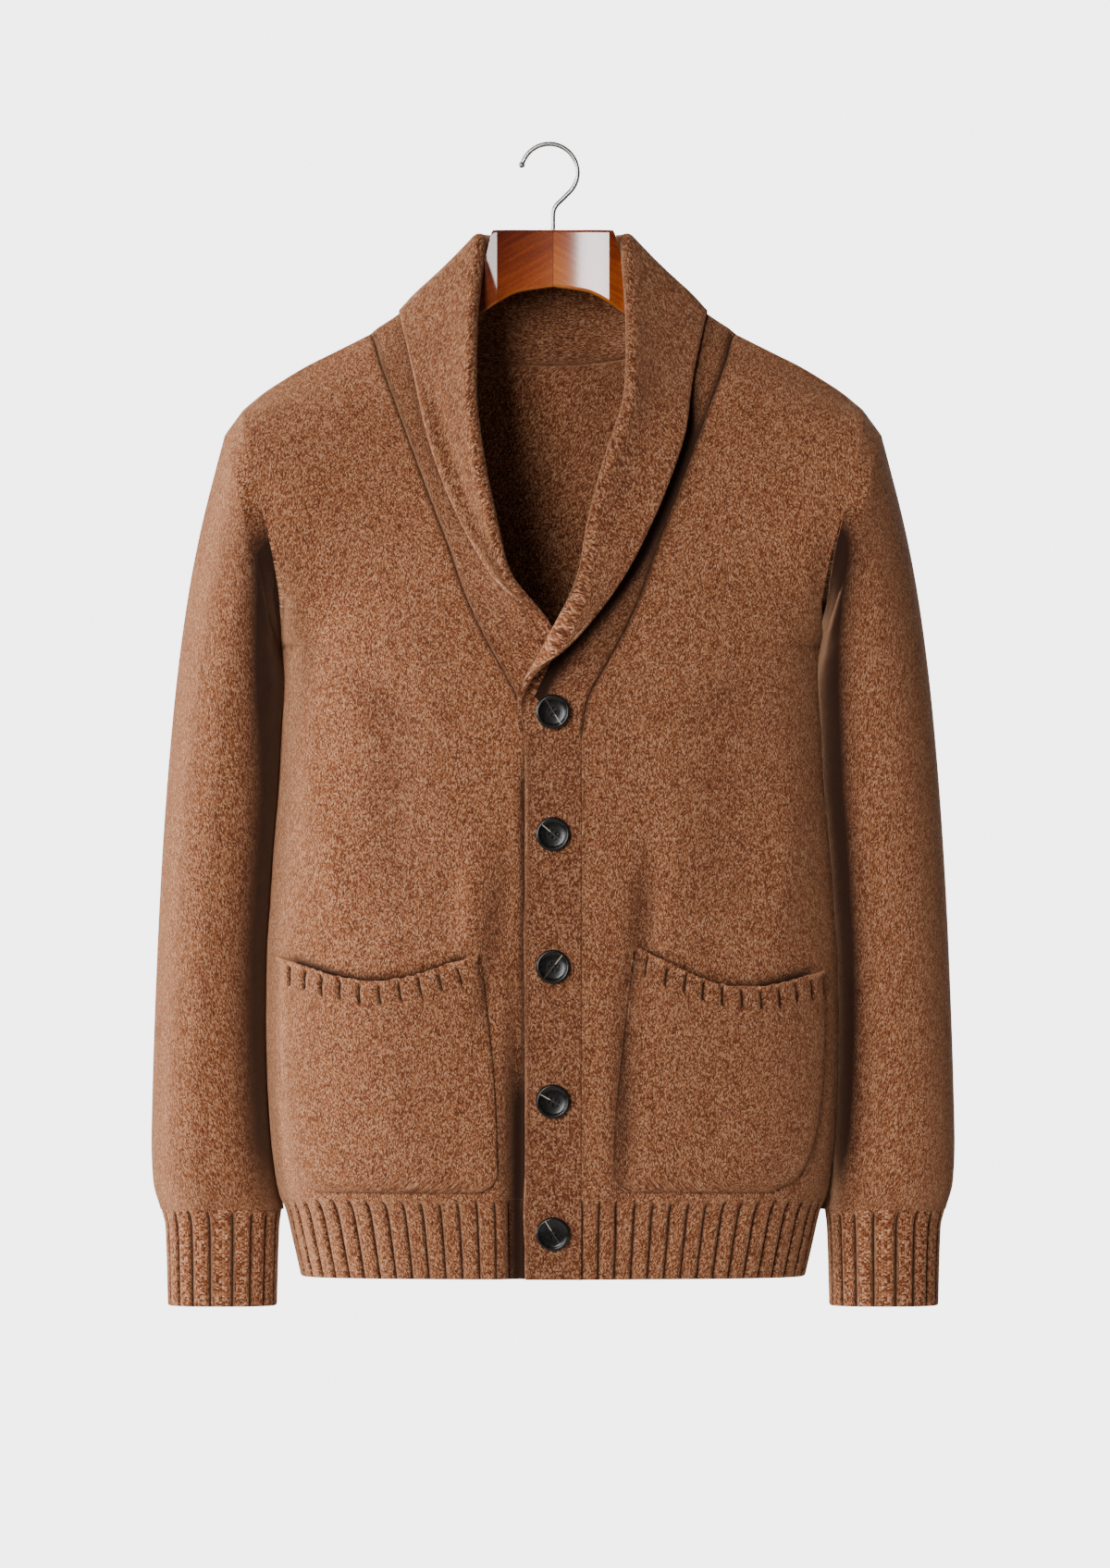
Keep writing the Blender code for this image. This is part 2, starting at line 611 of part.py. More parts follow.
def make_panels(knit):
    """The back and both fronts; returns the seam edges as (point, normal) pairs, and the fronts' rows."""
    edges = {}
    fronts = {}
    for hand, name in ((1, "front_left"), (-1, "front_right")):
        rows, normals = front_grid(hand)
        inner = moved(rows, normals, -CLOTH)
        if hand < 0:
            rows, normals, inner = mirrored(rows), mirrored(normals), mirrored(inner)
        wall_solid(name, rows, inner, knit)
        edges[hand] = [(row[-1], normal[-1]) for row, normal in zip(rows, normals)]
        fronts[hand] = rows
    rows, normals = back_grid()
    wall_solid("back", rows, moved(rows, normals, -CLOTH), knit)
    neck = slice(SHOULDER_COLUMNS, SHOULDER_COLUMNS + 2 * NECK_COLUMNS + 1)
    edges[0] = list(zip(rows[-1][neck], normals[-1][neck]))
    return edges, fronts


def rib_fractions(ribs):
    """Along a ribbed edge: a groove, then a rib's two shoulders, over and over, and a last groove."""
    rib = (0.0, 0.3, 0.7)
    return [(k + place) / ribs for k in range(ribs) for place in rib] + [1.0]


def rib_wall(name, base, normals, finish, closed=False):
    """A wall whose outer side has a groove at every third column; its inner side is plain."""
    outer = [[point - normal * (RIB_DEPTH if column % 3 == 0 else 0.0)
              for column, (point, normal) in enumerate(zip(row, turns))] for row, turns in zip(base, normals)]
    wall_solid(name, outer, moved(base, normals, -RIB_CLOTH), finish, closed)


def level(normals):
    for normal in normals:
        normal.z = 0.0
        normal.normalize()


def hem_half(side, hand):
    """Rows of the ribbed hem from a side seam to the band, or to the back's centre."""
    rows = []
    for z in (HEM_SEAM_Z - SEAM_GAP, -778.0, HEM_Z):
        width = body_value("half_width", z)
        depth = body_value("front_depth" if side < 0 else "back_depth", z)
        end_x = FRONT_SEAM[-1].x if side < 0 else 0.0
        fullness = (1 - (end_x / width) ** SECTION_POWER) ** (1 / SECTION_POWER)
        start = Vector((width, side * SEAM_GAP / 2, z))
        row = row_points(start, Vector((end_x, side * depth * fullness, z)), SECTION_POWER,
                         rib_fractions(HEM_RIBS))
        if side < 0 and hand > 0:
            for point in row:
                point.y -= band_lift(point.x, z)
        rows.append(row)
    return rows


def make_hem(knit):
    for hand, name in ((1, "hem_rib_front_left"), (-1, "hem_rib_front_right")):
        rows = hem_half(-1, hand)
        if hand < 0:
            rows = mirrored(rows)
        normals = grid_normals(rows, Vector((0, -1, 0)))
        for row in normals:
            level(row)
            row[0].y = 0.0
            row[0].normalize()
        rib_wall(name, rows, normals, knit)
    rows = [half + [Vector((-point.x, point.y, point.z)) for point in half[-2::-1]]
            for half in hem_half(1, 1)]
    normals = grid_normals(rows, Vector((0, 1, 0)))
    for row in normals:
        level(row)
        for end in (row[0], row[-1]):
            end.y = 0.0
            end.normalize()
    rib_wall("hem_rib_back", rows, normals, knit)


def make_bands(knit):
    """The two straight button bands, each from its front's seam to its free edge."""
    heights = [HEM_Z, -800.0, -778.0] + [z for z in BODY_ROWS_Z if z < BAND_TOP_Z]
    heights.append(BAND_TOP_Z - SEAM_GAP / 2)
    for hand, name in ((1, "buttonhole_band"), (-1, "button_band")):
        outer, inner = [], []
        for z in heights:
            face = -body_value("front_depth", z) - (BAND_LIFT if hand > 0 else 0.0)
            places = [hand * BAND_HALF_WIDTH * share for share in (1, 0.35, -0.35, -0.98)]
            outer.append([Vector((x, face, z)) for x in places])
            inner.append([Vector((x, face + BAND_CLOTH, z)) for x in places])
        wall_solid(name, outer, inner, knit)


def collar_line(seam, normal, along, section, hand):
    """The middle of the collar's cloth in one section: the stand, the fold and the fall."""
    roll = Vector(section["roll"])
    middle = seam - normal * (COLLAR_CLOTH / 2)
    stand = roll - middle
    up = stand.normalized()
    out = along.cross(up).normalized()
    if out.dot(normal) < 0:
        out = -out
    turn = max(radians(section["turn"] if hand >= 0 else section["under_turn"]), 0.02)
    radius = (section["arc"] if hand >= 0 else section["under_arc"]) / turn
    folded = turn / pi

    def dip(share):
        return out * (section["sag"] * sin(pi * share))

    line = [middle + stand * t - dip(t) for t in (0.0, 0.25, 0.5, 0.75, 1.0)]
    hub = roll + out * radius
    for share in (0.25, 0.5, 0.75, 1.0):
        angle = turn * share
        line.append(hub + (up * sin(angle) - out * cos(angle)) * radius)
    end = line[-1]
    away = up * cos(turn) + out * sin(turn)
    for share in (0.34, 0.67, 1.0):
        place = 1 - section["fall"] * share / stand.length
        rest = (FALL_REST - 2 * ROLL_RADIUS) * share * min(section["fall"] / SETTLED_FALL, 1.0)
        line.append(end + away * section["fall"] * share + (out * rest - dip(place)) * folded)
    return line, out


def collar_stations(edges):
    """Seam points, their normals and fold sizes, from the left band's top round to the right's."""
    count = len([z for z in BODY_ROWS_Z if z >= BAND_TOP_Z]) + ARMHOLE_ROWS + 1
    stations = []
    for hand in (1, -1):
        side = []
        for point, normal in edges[hand][-count:]:
            values = {name: read_table(COLLAR_SECTIONS, "z", name, point.z)
                      for name in CollarSection._fields if name != "z"}
            lift = values["over_lift"] if hand > 0 else 0.0
            across = values["x"] if hand > 0 else -values["under_x"]
            values["roll"] = (across, values["y"] - lift, values["roll_z"])
            if hand > 0:
                values["fall"] = values["over_fall"]
            side.append((point, normal, values, hand))
        stations.append(side)
    back = []
    side_section = COLLAR_SECTIONS[-1]
    for k in range(1, 2 * NECK_COLUMNS):
        point, normal = edges[0][k]
        angle = pi * k / (2 * NECK_COLUMNS)
        share = sin(angle)
        values = {"arc": side_section.arc, "turn": 180,
                  "fall": mix(side_section.fall, BACK_FALL, share), "sag": side_section.sag * (1 - share),
                  "roll": (side_section.x * cos(angle), mix(side_section.y, BACK_ROLL_Y, share),
                           mix(side_section.roll_z, BACK_ROLL_Z, share))}
        back.append((point, normal, values, 1))
    return stations[0] + back + stations[1][::-1]


def make_collar(knit, edges):
    stations = collar_stations(edges)
    last = len(stations) - 1
    outer, inner = [], []
    for k, (seam, normal, values, hand) in enumerate(stations):
        along = (stations[min(k + 1, last)][0] - stations[max(k - 1, 0)][0]).normalized()
        if k in (0, last):
            along = Vector((0, 0, 1 if k == 0 else -1))
        line, out = collar_line(seam, normal, along, values, hand)
        away = along.cross(normal).normalized()
        if away.dot(line[1] - line[0]) < 0:
            away = -away
        gap = away * SEAM_GAP
        if k in (0, last):
            gap.z += SEAM_GAP / 2
        outer_row, inner_row = [seam + gap], [seam - normal * CLOTH + gap]
        side = out
        for i in range(1, len(line)):
            run = line[min(i + 1, len(line) - 1)] - line[i - 1]
            square = along.cross(run).normalized()
            if square.dot(side) < 0:
                square = -square
            side = square
            half = COLLAR_CLOTH / 2 * (0.7 if i == len(line) - 1 else 1.0)
            outer_row.append(line[i] + square * half)
            inner_row.append(line[i] - square * half)
        if k in (0, last):
            for point in outer_row + inner_row:
                point.z = BAND_TOP_Z + SEAM_GAP / 2
        outer.append(outer_row)
        inner.append(inner_row)
    wall_solid("shawl_collar", outer, inner, knit)


def sleeve_turns():
    """Where each of a sleeve's columns starts on the armhole loop: down its front, then up its back."""
    down = [(pi * k / ARMHOLE_ROWS, -1) for k in range(ARMHOLE_ROWS + 1)]
    up = [(pi * (1 - k / ARMHOLE_ROWS), 1) for k in range(1, ARMHOLE_ROWS)]
    return down + up


def oval(turn, side, roundness=2.2):
    """A place on a slightly square oval, from -1 to 1 both ways."""
    across = abs(cos(turn)) ** (2 / roundness) * (1 if cos(turn) > 0 else -1)
    return across, side * abs(sin(turn)) ** (2 / roundness)


def make_sleeves(knit):
    turns = sleeve_turns()
    rows = [[armhole_point(turn, side) + armhole_axis(turn, side) * (SEAM_GAP / 2) for turn, side in turns]]
    for ring in SLEEVE_RINGS:
        far = Vector((ring.outer_x, ring.middle_y, ring.outer_z))
        near_x = body_value("half_width", ring.inner_z) + SLEEVE_GAP - ring.tuck
        near = Vector((near_x, ring.middle_y, ring.inner_z))
        row = []
        for turn, side in turns:
            across, depth = oval(turn, side)
            point = (far + near) / 2 + (far - near) / 2 * across + Vector((0, depth * ring.half_depth, 0))
            least = body_half_width_at(point.y, point.z) + SLEEVE_GAP
            if point.x < least:
                point.x = least
            row.append(point)
        rows.append(row)
    normals = grid_normals(rows, Vector((-1, 0, 0)), closed=True)
    normals[0] = [armhole_normal(turn, side) for turn, side in turns]
    level(normals[-1])
    inner = moved(rows, normals, -CLOTH)
    wall_solid("sleeve_left", rows, inner, knit, closed=True)
    wall_solid("sleeve_right", mirrored(rows), mirrored(inner), knit, closed=True)


def make_cuffs(knit):
    columns = 3 * CUFF_RIBS
    fractions = rib_fractions(CUFF_RIBS)[:-1]
    rows = []
    for ring in CUFF_RINGS:
        row = []
        for k in range(columns):
            angle = 2 * pi * fractions[k]
            across, depth = oval(angle, 1 if sin(angle) > 0 else -1)
            row.append(Vector((mix(ring.inner_x, ring.outer_x, (1 + across) / 2),
                               SLEEVE_RINGS[-1].middle_y + depth * ring.half_depth, ring.z)))
        rows.append(row)
    normals = grid_normals(rows, Vector((-1, 0, 0)), closed=True)
    for row in normals:
        level(row)
    rib_wall("cuff_left", rows, normals, knit, closed=True)
    rib_wall("cuff_right", mirrored(rows), mirrored(normals), knit, closed=True)


def front_face(rows, x, z):
    """The point of a front's outer face at a place seen from the front."""
    low = max(k for k in range(len(BODY_ROWS_Z) - 1) if BODY_ROWS_Z[k] <= z)
    depths = []
    for row in rows[low:low + 2]:
        places = sorted((point.x, point.y) for point in row)
        column = max([k for k in range(len(places) - 1) if places[k][0] <= x], default=0)
        (near_x, near_y), (far_x, far_y) = places[column:column + 2]
        depths.append(mix(near_y, far_y, (x - near_x) / (far_x - near_x)))
    share = (z - BODY_ROWS_Z[low]) / (BODY_ROWS_Z[low + 1] - BODY_ROWS_Z[low])
    return Vector((x, mix(depths[0], depths[1], share), z))


def make_pockets(knit, fronts):
    """The two patch pockets, laid on the fronts and open at their ribbed mouths."""
    fractions = rib_fractions(POCKET_RIBS)
    for hand, name, table in ((1, "pocket_left", POCKET_LEFT), (-1, "pocket_right", POCKET_RIGHT)):
        laid = []
        for row in table:
            path = []
            for k in range(FINE_STEPS + 1):
                share = k / FINE_STEPS
                z = mix(row.inner_z, row.outer_z, share) - row.sag * sin(pi * share)
                path.append(front_face(fronts[hand], hand * mix(row.inner_x, row.outer_x, share), z))
            laid.append(places_along(path, fractions))
        normals = grid_normals(laid, Vector((0, -1, 0)))
        inner, outer = [], []
        for row, points, turns in zip(table, laid, normals):
            off = [POCKET_STANDOFF + MOUTH_OPENING * row.open * sin(pi * fraction) for fraction in fractions]
            rise = [row.rib * (-POCKET_RIB_RISE if column % 3 == 0 else POCKET_RIB_RISE)
                    for column in range(len(fractions))]
            inner.append([point + turn * gap for point, turn, gap in zip(points, turns, off)])
            outer.append([point + turn * (CLOTH + lift) for point, turn, lift in zip(inner[-1], turns, rise)])
        wall_solid(name, outer, inner, knit)


def lathe(name, rings, finish):
    """A closed solid from rings of points, with a flat cap at each end."""
    sides = len(rings[0])
    points = [point for ring in rings for point in ring]
    faces = []
    for low in range(0, len(points) - sides, sides):
        for k in range(sides):
            after = (k + 1) % sides
            faces.append((low + k, low + after, low + sides + after, low + sides + k))
    for start in (0, len(points) - sides):
        middle = len(points)
        points.append(sum(points[start:start + sides], Vector()) / sides)
        faces += [(start + k, start + (k + 1) % sides, middle) for k in range(sides)]
    return add_mesh(name, points, faces, finish)


def make_buttons(horn):
    sides = 20
    for number, button in enumerate(BUTTONS, 1):
        tip = radians(button.tip)
        ahead = Vector((0.0, -cos(tip), -sin(tip)))
        up = Vector((0.0, -sin(tip), cos(tip)))
        middle = Vector((0.0, button.back_y, button.z))
        rings = []
        for radius, rise in BUTTON_PROFILE:
            turns = [2 * pi * k / sides for k in range(sides)]
            rings.append([middle + ahead * rise + (Vector((sin(turn), 0, 0)) + up * cos(turn)) * radius
                          for turn in turns])
        lathe(f"button_{number}", rings, horn)


def make_hanger_wood(wood):
    turns = [2 * pi * (k + 0.5) / WOOD_SIDES for k in range(WOOD_SIDES)]
    rings = []
    for side, stations in ((-1, WOOD_STATIONS[::-1]), (1, WOOD_STATIONS[1:])):
        for station in stations:
            middle = (station.top + station.bottom) / 2
            half = (station.top - station.bottom) / 2 / oval(turns[0], 1)[0]
            ring = []
            for turn in turns:
                across, depth = oval(turn, 1 if sin(turn) > 0 else -1)
                ring.append(Vector((side * station.x, depth * station.half_depth, middle + across * half)))
            rings.append(ring)
    lathe("hanger_wood", rings, wood)


def make_hanger_hook(chrome):
    """A bent wire with a small ball at its tip."""
    sides = 8
    steps = 28
    path = []
    for k in range(steps + 1):
        angle = radians(mix(HOOK_TIP_ANGLE, HOOK_FOOT_ANGLE, k / steps))
        path.append(Vector((HOOK_CENTRE[0] + HOOK_RADIUS * cos(angle), 0,
                            HOOK_CENTRE[1] + HOOK_RADIUS * sin(angle))))
    radii = [WIRE_RADIUS] * len(path)
    start = path[0]
    back = (path[0] - path[1]).normalized()
    for reach, radius in ((0.0, 2.1), (1.4, HOOK_BALL_RADIUS), (2.9, 2.1), (3.8, 1.0)):
        path.insert(0, start + back * reach)
        radii.insert(0, radius)
    path.remove(start)
    radii.remove(WIRE_RADIUS)
    for x, z in HOOK_BEND:
        path.append(Vector((x, 0, z)))
        radii.append(WIRE_RADIUS)
    rings = []
    for k, point in enumerate(path):
        run = (path[min(k + 1, len(path) - 1)] - path[max(k - 1, 0)]).normalized()
        across = Vector((run.z, 0, -run.x))
        turns = [2 * pi * (j + 0.5) / sides for j in range(sides)]
        rings.append([point + (across * cos(turn) + Vector((0, sin(turn), 0))) * radii[k] for turn in turns])
    lathe("hanger_hook", rings, chrome)


def main():
    clear_scene()
    knit = material("brown wool knit", (0.31, 0.14, 0.072), 0.95)
    edges, fronts = make_panels(knit)
    make_hem(knit)
    make_bands(knit)
    make_collar(knit, edges)
    make_sleeves(knit)
    make_cuffs(knit)
    make_pockets(knit, fronts)
    make_buttons(material("dark horn", (0.02, 0.017, 0.015), 0.25))
    make_hanger_wood(material("lacquered wood", (0.32, 0.11, 0.04), 0.2))
    make_hanger_hook(material("chrome wire", (0.8, 0.8, 0.8), 0.15, 1.0))


main()
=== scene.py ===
"""Looks of a brown marl wool cardigan with a shawl collar, on a lacquered wooden hanger.

Each knitted piece is drawn again over its solid: finer, with rounded edges, ribs and creases. Tables are in
millimetres. The front faces -Y, the wearer's left is +X, and the hook's inner top is the origin.
"""

from collections import namedtuple
from functools import cache, partial
from math import cos, pi, radians, sin

import bmesh
import bpy
import numpy as np
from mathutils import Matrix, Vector


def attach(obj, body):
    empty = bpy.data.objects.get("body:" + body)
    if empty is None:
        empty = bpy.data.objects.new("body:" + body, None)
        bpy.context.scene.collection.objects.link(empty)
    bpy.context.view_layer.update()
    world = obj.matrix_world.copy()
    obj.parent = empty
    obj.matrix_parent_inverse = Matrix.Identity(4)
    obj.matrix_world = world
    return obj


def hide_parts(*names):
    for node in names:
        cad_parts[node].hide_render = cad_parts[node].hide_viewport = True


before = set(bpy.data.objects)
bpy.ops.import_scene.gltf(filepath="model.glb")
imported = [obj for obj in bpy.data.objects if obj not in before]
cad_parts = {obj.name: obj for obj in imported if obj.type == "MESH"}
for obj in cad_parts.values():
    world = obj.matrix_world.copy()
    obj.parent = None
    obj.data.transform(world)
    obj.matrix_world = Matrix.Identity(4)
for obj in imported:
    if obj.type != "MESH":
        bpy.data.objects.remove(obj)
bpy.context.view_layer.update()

MM = 0.001

# Cloth
CLOTH = 3.0
RIB_CLOTH = 3.6
STRIP_CLOTH = 4.0         # the double-knit collar and bands
EDGE_ROUND = 1.9          # of a knitted piece's free or plainly sewn edge
RIB_END_ROUND = 1.7       # of a ribbed piece's free end
SOFT_SEAM = 0.7           # of an edge that is sewn so that it hardly shows
RIM_STEPS = np.array([0.0, 0.12, 0.45, 1.0])    # where rows lie over a rounded edge, as shares of its radius

# Heights and half widths of the garment
HEM_SEAM_Z = -767.0
HEM_Z = -825.4
CUFF_SEAM_Z = -777.0
CUFF_Z = -847.7
UNDERARM_Z = -366.0
SHOULDER_TIP_Z = -192.0
ARMHOLE_DEPTH = 58.0
BAND_HALF_WIDTH = 20.3
BAND_TOP_Z = -432.0
BAND_LIFT = 4.6           # of the left front, by the bands that lie over each other
BAND_LIFT_REACH = 50.0
BAND_RIDGE = 1.3          # how far the knit stands up where the left front meets its band
NECK_X = 134.0
NECK_Z = -137.5
BACK_NECK_DEPTH = 72.0
BACK_NECK_Z = -158.0
SECTION_POWER = 2.5       # 2 is an ellipse, and more is squarer
ARMHOLE_POWER = 1.15
UNDERARM_LEAN = 0.6

# Ribs
HEM_RIBS = 17
CUFF_RIBS = 18
POCKET_RIBS = 11
HEM_PITCH = 13.5
POCKET_PITCH = 14.5
GROOVE_DEPTH = 2.6
RIB_ROUND = 0.45          # how much of the groove's depth is the rib's own roundness
GROOVE_WIDTH = 1.25       # to where a groove has lost two thirds of its depth
RIB_PHASES = (0.0, 0.04, 0.09, 0.15, 0.27, 0.5, 0.73, 0.85, 0.91, 0.96)

# How many rows and columns the pieces are drawn with
BODY_ROWS = 112
UPPER_ROWS = 52
FRONT_COLUMNS = 70
BACK_COLUMNS = 100
SLEEVE_COLUMNS = 112
SLEEVE_ROWS = 150
STAND_POINTS = 16
ARC_POINTS = 12
FALL_POINTS = 20
FINE_STEPS = 240          # of a path that points are measured along


def table(columns, *rows):
    """A list of rows with named columns."""
    row = namedtuple("Row", columns)
    return [row(*values) for values in rows]


BODY_SECTIONS = table(
    "z half_width front_depth back_depth",
    (-366, 198.3, 92.0, 92.0),
    (-400, 198.6, 96.5, 93.0),
    (-432, 199.8, 98.0, 93.0),
    (-470, 201.6, 98.5, 92.0),
    (-510, 204.8, 99.0, 91.0),
    (-552, 207.4, 100.0, 91.0),
    (-595, 209.8, 101.0, 91.5),
    (-635, 210.0, 102.0, 92.0),
    (-675, 209.2, 102.0, 92.0),
    (-715, 207.0, 101.0, 91.0),
    (-748, 203.4, 98.5, 89.0),
    (-767, 199.6, 95.5, 86.5),
    (-776, 195.6, 92.5, 84.0),
    (-799, 190.2, 88.5, 81.0),
    (-826, 184.0, 85.0, 78.0),
)

# The seam between a front and the collar
FRONT_SEAM = table(
    "z x depth",
    (-137.5, 134.0, 0.0),
    (-150.0, 129.6, 15.0),
    (-174.0, 120.4, 32.0),
    (-207.0, 108.2, 48.5),
    (-251.5, 92.0, 65.0),
    (-296.0, 75.2, 78.0),
    (-326.5, 64.6, 85.0),
    (-356.0, 51.4, 90.0),
    (-382.0, 37.2, 94.0),
    (-406.0, 25.2, 96.7),
    (-432.0, 20.6, 98.0),
)

ARMHOLE = table(
    "z x",
    (-192, 226.0), (-215, 224.0), (-240, 219.5), (-268, 212.0), (-299, 204.5), (-333, 199.8), (-366, 198.3),
)

SHOULDER_RIDGE = table(
    "x z",
    (134.0, -137.5), (159.0, -150.0), (180.0, -160.5), (196.0, -170.0), (212.0, -180.5), (226.0, -192.0),
)

# The collar's fold beside each height of its seam: where the roll lies, how long and how far round it bends,
# and how long the fall is, on the wearer's left, which lies over, and on the right, under it
COLLAR_SECTIONS = table(
    "z over_x under_x y roll_z over_arc under_arc over_turn under_turn over_fall under_fall sag over_lift",
    (-432.0, -15.6, -15.6, -96.0, -432.0, 3.0, 3.0, 0, 0, 2.0, 2.0, 0.0, 4.6),
    (-410.0, -14.0, -8.0, -95.1, -408.0, 5.0, 4.0, 60, 0, 2.0, 2.0, 0.0, 6.5),
    (-388.0, -2.5, 2.0, -94.7, -385.0, 10.0, 6.0, 120, 0, 3.0, 2.0, 0.0, 9.5),
    (-366.0, 7.0, 6.0, -95.2, -362.0, 15.0, 7.0, 165, 20, 6.0, 3.0, 0.0, 10.5),
    (-341.0, 18.5, 23.0, -95.0, -334.0, 14.0, 13.0, 180, 150, 15.0, 4.5, 0.5, 6.0),
    (-326.5, 23.5, 33.0, -94.0, -318.0, 13.0, 12.6, 180, 180, 22.0, 7.5, 1.0, 2.0),
    (-296.0, 28.5, 43.0, -88.0, -282.0, 12.6, 12.6, 180, 180, 36.0, 18.0, 1.5, 0.0),
    (-251.5, 41.5, 53.5, -77.0, -231.0, 12.6, 12.6, 180, 180, 45.0, 31.0, 3.0, 0.0),
    (-207.0, 56.5, 59.5, -58.0, -178.5, 12.6, 12.6, 180, 180, 46.5, 41.5, 5.0, 0.0),
    (-174.0, 57.0, 59.0, -34.0, -134.0, 12.6, 12.6, 180, 180, 54.5, 52.0, 4.5, 0.0),
    (-137.5, 52.0, 52.0, 3.0, -72.0, 12.6, 12.6, 180, 180, 78.0, 78.0, 3.0, 0.0),
)
BACK_ROLL_Y = 52.0
BACK_ROLL_Z = -70.0
BACK_FALL = 80.0
FALL_SETTLES = 1.6        # how far a settled fall comes in towards the stand
SETTLED_FALL = 20.0

SLEEVE_GAP = 0.5          # between a sleeve's flank and the body
SLEEVE_PRESSED = 2.5
SLEEVE_RINGS = table(
    "outer_x outer_z inner_z half_depth middle_y tuck",
    (240.0, -211.0, -372.0, 60.0, 3.0, 1.5),
    (247.2, -238.0, -378.0, 61.0, 6.0, 2.5),
    (256.3, -274.0, -383.0, 61.0, 9.0, 5.0),
    (264.4, -313.0, -394.0, 61.0, 12.0, 9.0),
    (270.9, -354.0, -408.0, 60.5, 14.0, 11.0),
    (276.0, -395.0, -426.0, 60.0, 16.0, 11.0),
    (280.2, -438.0, -448.0, 59.5, 17.0, 12.0),
    (283.8, -483.0, -483.0, 58.5, 18.0, 12.0),
    (286.9, -531.0, -531.0, 57.0, 18.0, 11.0),
    (289.4, -580.0, -580.0, 55.0, 18.0, 10.0),
    (291.5, -632.0, -632.0, 53.0, 18.0, 9.0),
    (293.2, -684.0, -684.0, 51.0, 18.0, 8.0),
    (294.1, -728.0, -728.0, 49.0, 18.0, 6.0),
    (292.9, -756.0, -756.0, 46.5, 18.0, 3.0),
    (287.5, CUFF_SEAM_Z, CUFF_SEAM_Z, 40.0, 18.0, -1.3),
)
CUFF_RINGS = table(
    "z inner_x outer_x half_depth",
    (CUFF_SEAM_Z, 198.6, 287.0, 39.6),
    (-790.0, 200.2, 284.0, 36.6),
    (CUFF_Z, 202.0, 282.2, 34.5),
)

# A crease runs from its top to its foot; height is how far it stands out, and a trough's is negative
FOLD_COLUMNS = "top_x top_z foot_x foot_z width height"
FRONT_FOLDS = table(
    FOLD_COLUMNS,
    (-58, -505, -60, -605, 9, 3.5),
    (-33, -505, -51, -640, 9, -6.0),
    (71, -515, 62, -612, 10, -7.5),
    (88, -480, 80, -610, 13, 2.5),
    (29, -570, 27, -775, 7, 3.5),
    (55, -600, 50, -780, 9, -7.0),
    (-150, -385, -96, -425, 14, -2.5),
    (150, -385, 96, -425, 14, -2.5),
    (-182, -430, -150, -590, 14, 3.0),
    (182, -440, 160, -590, 14, 3.0),
    (-120, -400, -110, -560, 22, -2.5),
    (125, -420, 116, -570, 22, -2.5),
)
PLACKET_FOLD = table(FOLD_COLUMNS, (-25, -540, -26, -940, 9, -13.0))
BACK_FOLDS = table(
    FOLD_COLUMNS,
    (-60, -300, -30, -640, 20, -4.0),
    (70, -330, 52, -700, 20, -3.5),
    (150, -390, 110, -520, 15, -3.0),
    (-150, -390, -112, -540, 15, -3.0),
    (5, -560, 0, -760, 24, 4.0),
)

POCKET_COLUMNS = "inner_x inner_z outer_x outer_z sag open"
POCKET_RIGHT = table(
    POCKET_COLUMNS,
    (56.0, -590.0, 198.0, -591.0, 21.0, 1.0),
    (51.0, -608.5, 198.0, -609.5, 20.5, 1.0),
    (47.0, -635.0, 198.0, -637.0, 10.0, 0.7),
    (43.2, -675.0, 196.9, -675.0, 2.0, 0.3),
    (41.2, -715.0, 193.2, -715.0, 0.0, 0.0),
    (40.5, -748.0, 186.0, -748.0, 0.0, 0.0),
    (43.5, -756.0, 180.0, -756.0, 0.0, 0.0),
    (52.0, -762.0, 168.0, -762.0, 0.0, 0.0),
)
POCKET_LEFT = table(
    POCKET_COLUMNS,
    (58.0, -583.0, 195.0, -601.5, 23.0, 1.0),
    (55.8, -601.5, 195.6, -620.0, 22.5, 1.0),
    (51.5, -632.0, 195.8, -643.0, 10.0, 0.7),
    (46.6, -675.0, 194.6, -675.0, 3.0, 0.3),
    (43.0, -715.0, 190.4, -715.0, 0.0, 0.0),
    (42.6, -748.0, 179.0, -748.0, 0.0, 0.0),
    (45.6, -755.5, 170.0, -756.0, 0.0, 0.0),
    (52.0, -761.5, 155.0, -762.0, 0.0, 0.0),
)
POCKETS = {1: POCKET_LEFT, -1: POCKET_RIGHT}
POCKET_RIB_HEIGHT = 16.0
POCKET_LIP = 3.2          # of plain knit above the mouth's ribs
POCKET_STANDOFF = 0.8
MOUTH_OPENING = 4.2
INNER_GAPE = {1: 0.8, -1: 0.2}         # how much more the mouth opens by its inner corner
MOUTH_TROUGH = 3.5        # the front sinks behind the mouth
POCKET_LIP_BEAD = 2.0     # how far the mouth's rolled lip stands out
POCKET_EDGE_SINK = 0.9    # the sewn edges are pressed flat


# ---- Curves, paths and grids ----

def smooth_curve(keys, values):
    """A function of the keys that meets each value, with no overshoot between them."""
    keys, values = np.array(sorted(zip(keys, values)), float).T
    rises = np.diff(values) / np.diff(keys)
    product = rises[:-1] * rises[1:]
    total = np.where(product > 0, rises[:-1] + rises[1:], 1.0)
    slopes = np.concatenate(([rises[0]], np.where(product > 0, 2 * product / total, 0.0), [rises[-1]]))

    def value_at(at):
        at = np.clip(at, keys[0], keys[-1])
        k = np.clip(np.searchsorted(keys, at, side="right") - 1, 0, len(keys) - 2)
        span = keys[k + 1] - keys[k]
        t = (at - keys[k]) / span
        return ((1 + 2 * t) * (1 - t) ** 2 * values[k] + t * (1 - t) ** 2 * span * slopes[k]
                + t * t * (3 - 2 * t) * values[k + 1] + t * t * (t - 1) * span * slopes[k + 1])

    return value_at


